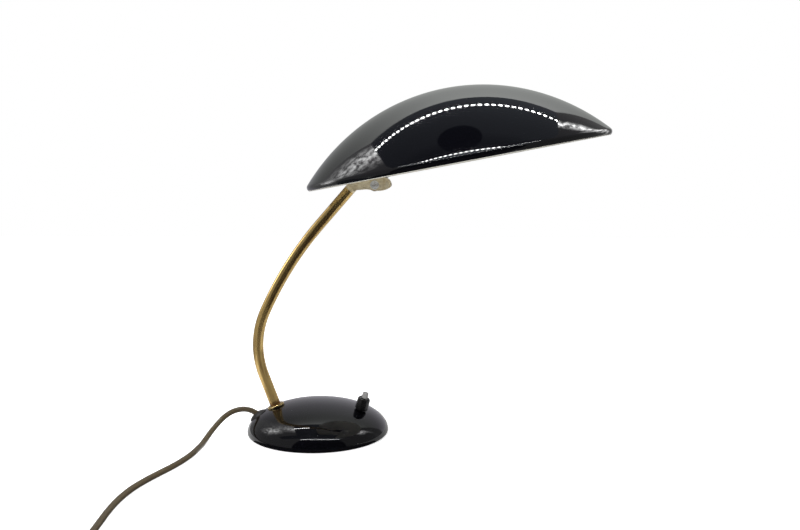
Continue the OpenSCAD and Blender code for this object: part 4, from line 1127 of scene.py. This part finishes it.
def cheek_mesh(name):
    shape = bmesh.new()
    rows = [[shape.verts.new(p) for p in row] for row in cheek_rows()]
    for low, high in zip(rows, rows[1:]):
        for k in range(ACROSS):
            shape.faces.new((low[k], low[k + 1], high[k + 1], high[k]))
    rim = [shape.verts.new(p) for p in plate_outline([v.co.copy() for v in rows[-1]])]
    shape.faces.new(rows[-1] + rim)
    cut = (STEP_TO - STEP_FROM).normalized()
    off = Vector((cut.z, 0, -cut.x))
    off = off if off.x > 0 else -off
    for shift in STEP_CUTS:
        whole = shape.verts[:] + shape.edges[:] + shape.faces[:]
        bmesh.ops.bisect_plane(shape, geom=whole, plane_co=pivot + STEP_FROM + shift * off, plane_no=off)
    for v in shape.verts:
        past = (v.co - pivot - STEP_FROM).dot(off)
        v.co.y += STEP_IN * ease(min(1, max(0, (past + STEP_HALF) / (2 * STEP_HALF))))
    bmesh.ops.recalc_face_normals(shape, faces=shape.faces)
    bmesh.ops.scale(shape, vec=(MM, MM, MM), verts=shape.verts)
    mesh = bpy.data.meshes.new(name)
    shape.to_mesh(mesh)
    return mesh


# %% Cheeks
def applied(piece):
    """The piece with its modifiers worked into its mesh."""
    graph = bpy.context.evaluated_depsgraph_get()
    made = bpy.data.meshes.new_from_object(
        piece.evaluated_get(graph), preserve_all_data_layers=True, depsgraph=graph)
    piece.modifiers.clear()
    piece.data = made
    return piece


def worn_edge(piece, width, angle):
    """A narrow bevel on every edge that is sharper than angle."""
    worn = piece.modifiers.new("worn edge", "BEVEL")
    worn.width = width * MM
    worn.segments = 2
    worn.limit_method = "ANGLE"
    worn.angle_limit = radians(angle)


def smooth_in(piece, finish, sharp):
    """One finish all over, shaded smooth but for edges over sharp degrees."""
    piece.data.materials.clear()
    piece.data.materials.append(finish)
    piece.data.polygons.foreach_set("use_smooth", [True] * len(piece.data.polygons))
    sharpen(piece, sharp)


def cheek(name, side):
    """A cheek, in front of the tongue where side is 1 and behind it where side is -1."""
    mesh = cheek_mesh(name)
    if sum(p.normal.y * p.area for p in mesh.polygons) > 0:
        mesh.flip_normals()
    piece = bpy.data.objects.new(name, mesh)
    scene.collection.objects.link(piece)
    sheet = piece.modifiers.new("sheet", "SOLIDIFY")
    sheet.thickness = CHEEK_T * MM
    sheet.offset = -1
    worn_edge(piece, 0.25, 50)
    applied(piece)
    if side < 0:
        piece.data.transform(Matrix.Scale(-1, 4, (0, 1, 0)))
        piece.data.flip_normals()
    smooth_in(piece, PALE_BRASS, 40)
    return piece


settle(cheek("front_cheek", 1), "stand", "pale_brass", "cheek_front")
settle(cheek("rear_cheek", -1), "stand", "pale_brass", "cheek_rear")

# %% [markdown]
# ## Small metal and moulded pieces
#
# Screws, nuts, the switch's collar and button, the shade's bracket, the lamp holder and the
# cord's tie already have the right shape as solids. What they lack is the tiny rounding that
# every real edge has and that catches the light. So each gets a copy of its solid's mesh,
# welded, with a narrow bevel.


# %% Worn copies
def worn_copy(node, body, slot, finish, width):
    mesh = nodes[node].data.copy()
    mesh.name = node
    shape = bmesh.new()
    shape.from_mesh(mesh)
    bmesh.ops.remove_doubles(shape, verts=shape.verts, dist=1e-6)
    bmesh.ops.dissolve_limit(shape, angle_limit=radians(1), verts=shape.verts, edges=shape.edges)
    shape.to_mesh(mesh)
    piece = bpy.data.objects.new(node + "_worn", mesh)
    scene.collection.objects.link(piece)
    worn_edge(piece, width, 30)
    applied(piece)
    smooth_in(piece, finish, 35)
    settle(piece, body, slot, node)


WORN = [
    ("pivot_screw", "stand", "steel", STEEL, 0.35),
    ("pivot_washers", "stand", "steel", STEEL, 0.15),
    ("pivot_nut", "stand", "steel", STEEL, 0.3),
    ("friction_washers", "stand", "fibre", FIBRE, 0.15),
    ("switch_collar", "stand", "black_bakelite", BAKELITE, 0.35),
    ("switch_button", "button", "grey_button", GREY_BUTTON, 0.2),
    ("shade_bracket", "shade", "steel", STEEL, 0.25),
    ("holder_nuts", "shade", "steel", STEEL, 0.25),
    ("holder_nipple", "shade", "steel", STEEL, 0.2),
    ("holder_cap", "shade", "black_bakelite", BAKELITE, 0.3),
    ("holder_sleeve", "shade", "black_bakelite", BAKELITE, 0.3),
    ("base_screw", "stand", "steel", STEEL, 0.2),
    ("base_plate", "stand", "steel", STEEL, 0.2),
    ("cord_tie", "stand", "tie", TIE, 0.15)]
for node, body, slot, finish, width in WORN:
    worn_copy(node, body, slot, finish, width)

# %% [markdown]
# ## What gives way
#
# Two pieces cross a joint. On the lamp the lead in the hinge bends from the arm to the shade, and the
# spring under the button shortens as the button goes down. Here each is a copy of its solid's mesh with
# its finish, and the spring is attached to the stand.


# %% Lead and spring
def soft_copy(node, finish):
    """A copy of a solid's own mesh, for a piece that changes its shape as a joint moves."""
    mesh = nodes[node].data.copy()
    mesh.materials.clear()
    mesh.materials.append(finish)
    piece = bpy.data.objects.new(node + "_soft", mesh)
    scene.collection.objects.link(piece)
    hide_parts(node)
    return piece


lead = soft_copy("hinge_lead", BROWN_LEAD)
lead_end = max((v.co for v in lead.data.vertices), key=lambda co: co.x).copy()
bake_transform(lead)

press = joint_named("button_press")
down = Vector(press["axis"])
spring = soft_copy("switch_spring", STEEL)
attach(spring, "stand")
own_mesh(spring)

# %% [markdown]
# ## The solids that stay
#
# What lies inside the lamp, the grommet and the plug need no worn edges. They keep their
# solids' own meshes, and only take a finish.

# %% Finishes of the solids that stay
PLAIN = {
    "base_weight": IRON, "felt_pad": FELT, "crown_post": STEEL,
    "arm_nipple": STEEL, "arm_washer": STEEL, "arm_nut": STEEL,
    "holder_insert": PORCELAIN, "holder_shell": BRIGHT_BRASS, "holder_contact": BRIGHT_BRASS,
    "bulb_cap": STEEL, "bulb_tip": BAKELITE, "bulb_glass": OPAL, "bulb_stem": OPAL, "bulb_filament": STEEL,
    "switch_body": BAKELITE, "switch_terminals": BRIGHT_BRASS,
    "cord_grommet": RUBBER, "cord_clamp": STEEL, "clamp_screws": STEEL,
    "terminal_block": PORCELAIN, "terminal_screws": BRIGHT_BRASS,
    "base_lead": BROWN_LEAD, "arm_lead": BROWN_LEAD, "tail_lead": BROWN_LEAD, "switch_lead": BROWN_LEAD,
    "plug_body": BROWN_PLASTIC, "plug_pins": BRIGHT_BRASS}
for name, finish in PLAIN.items():
    for slot in nodes[name].material_slots:
        slot.material = finish
print(len(PLAIN), "solids keep their own mesh")
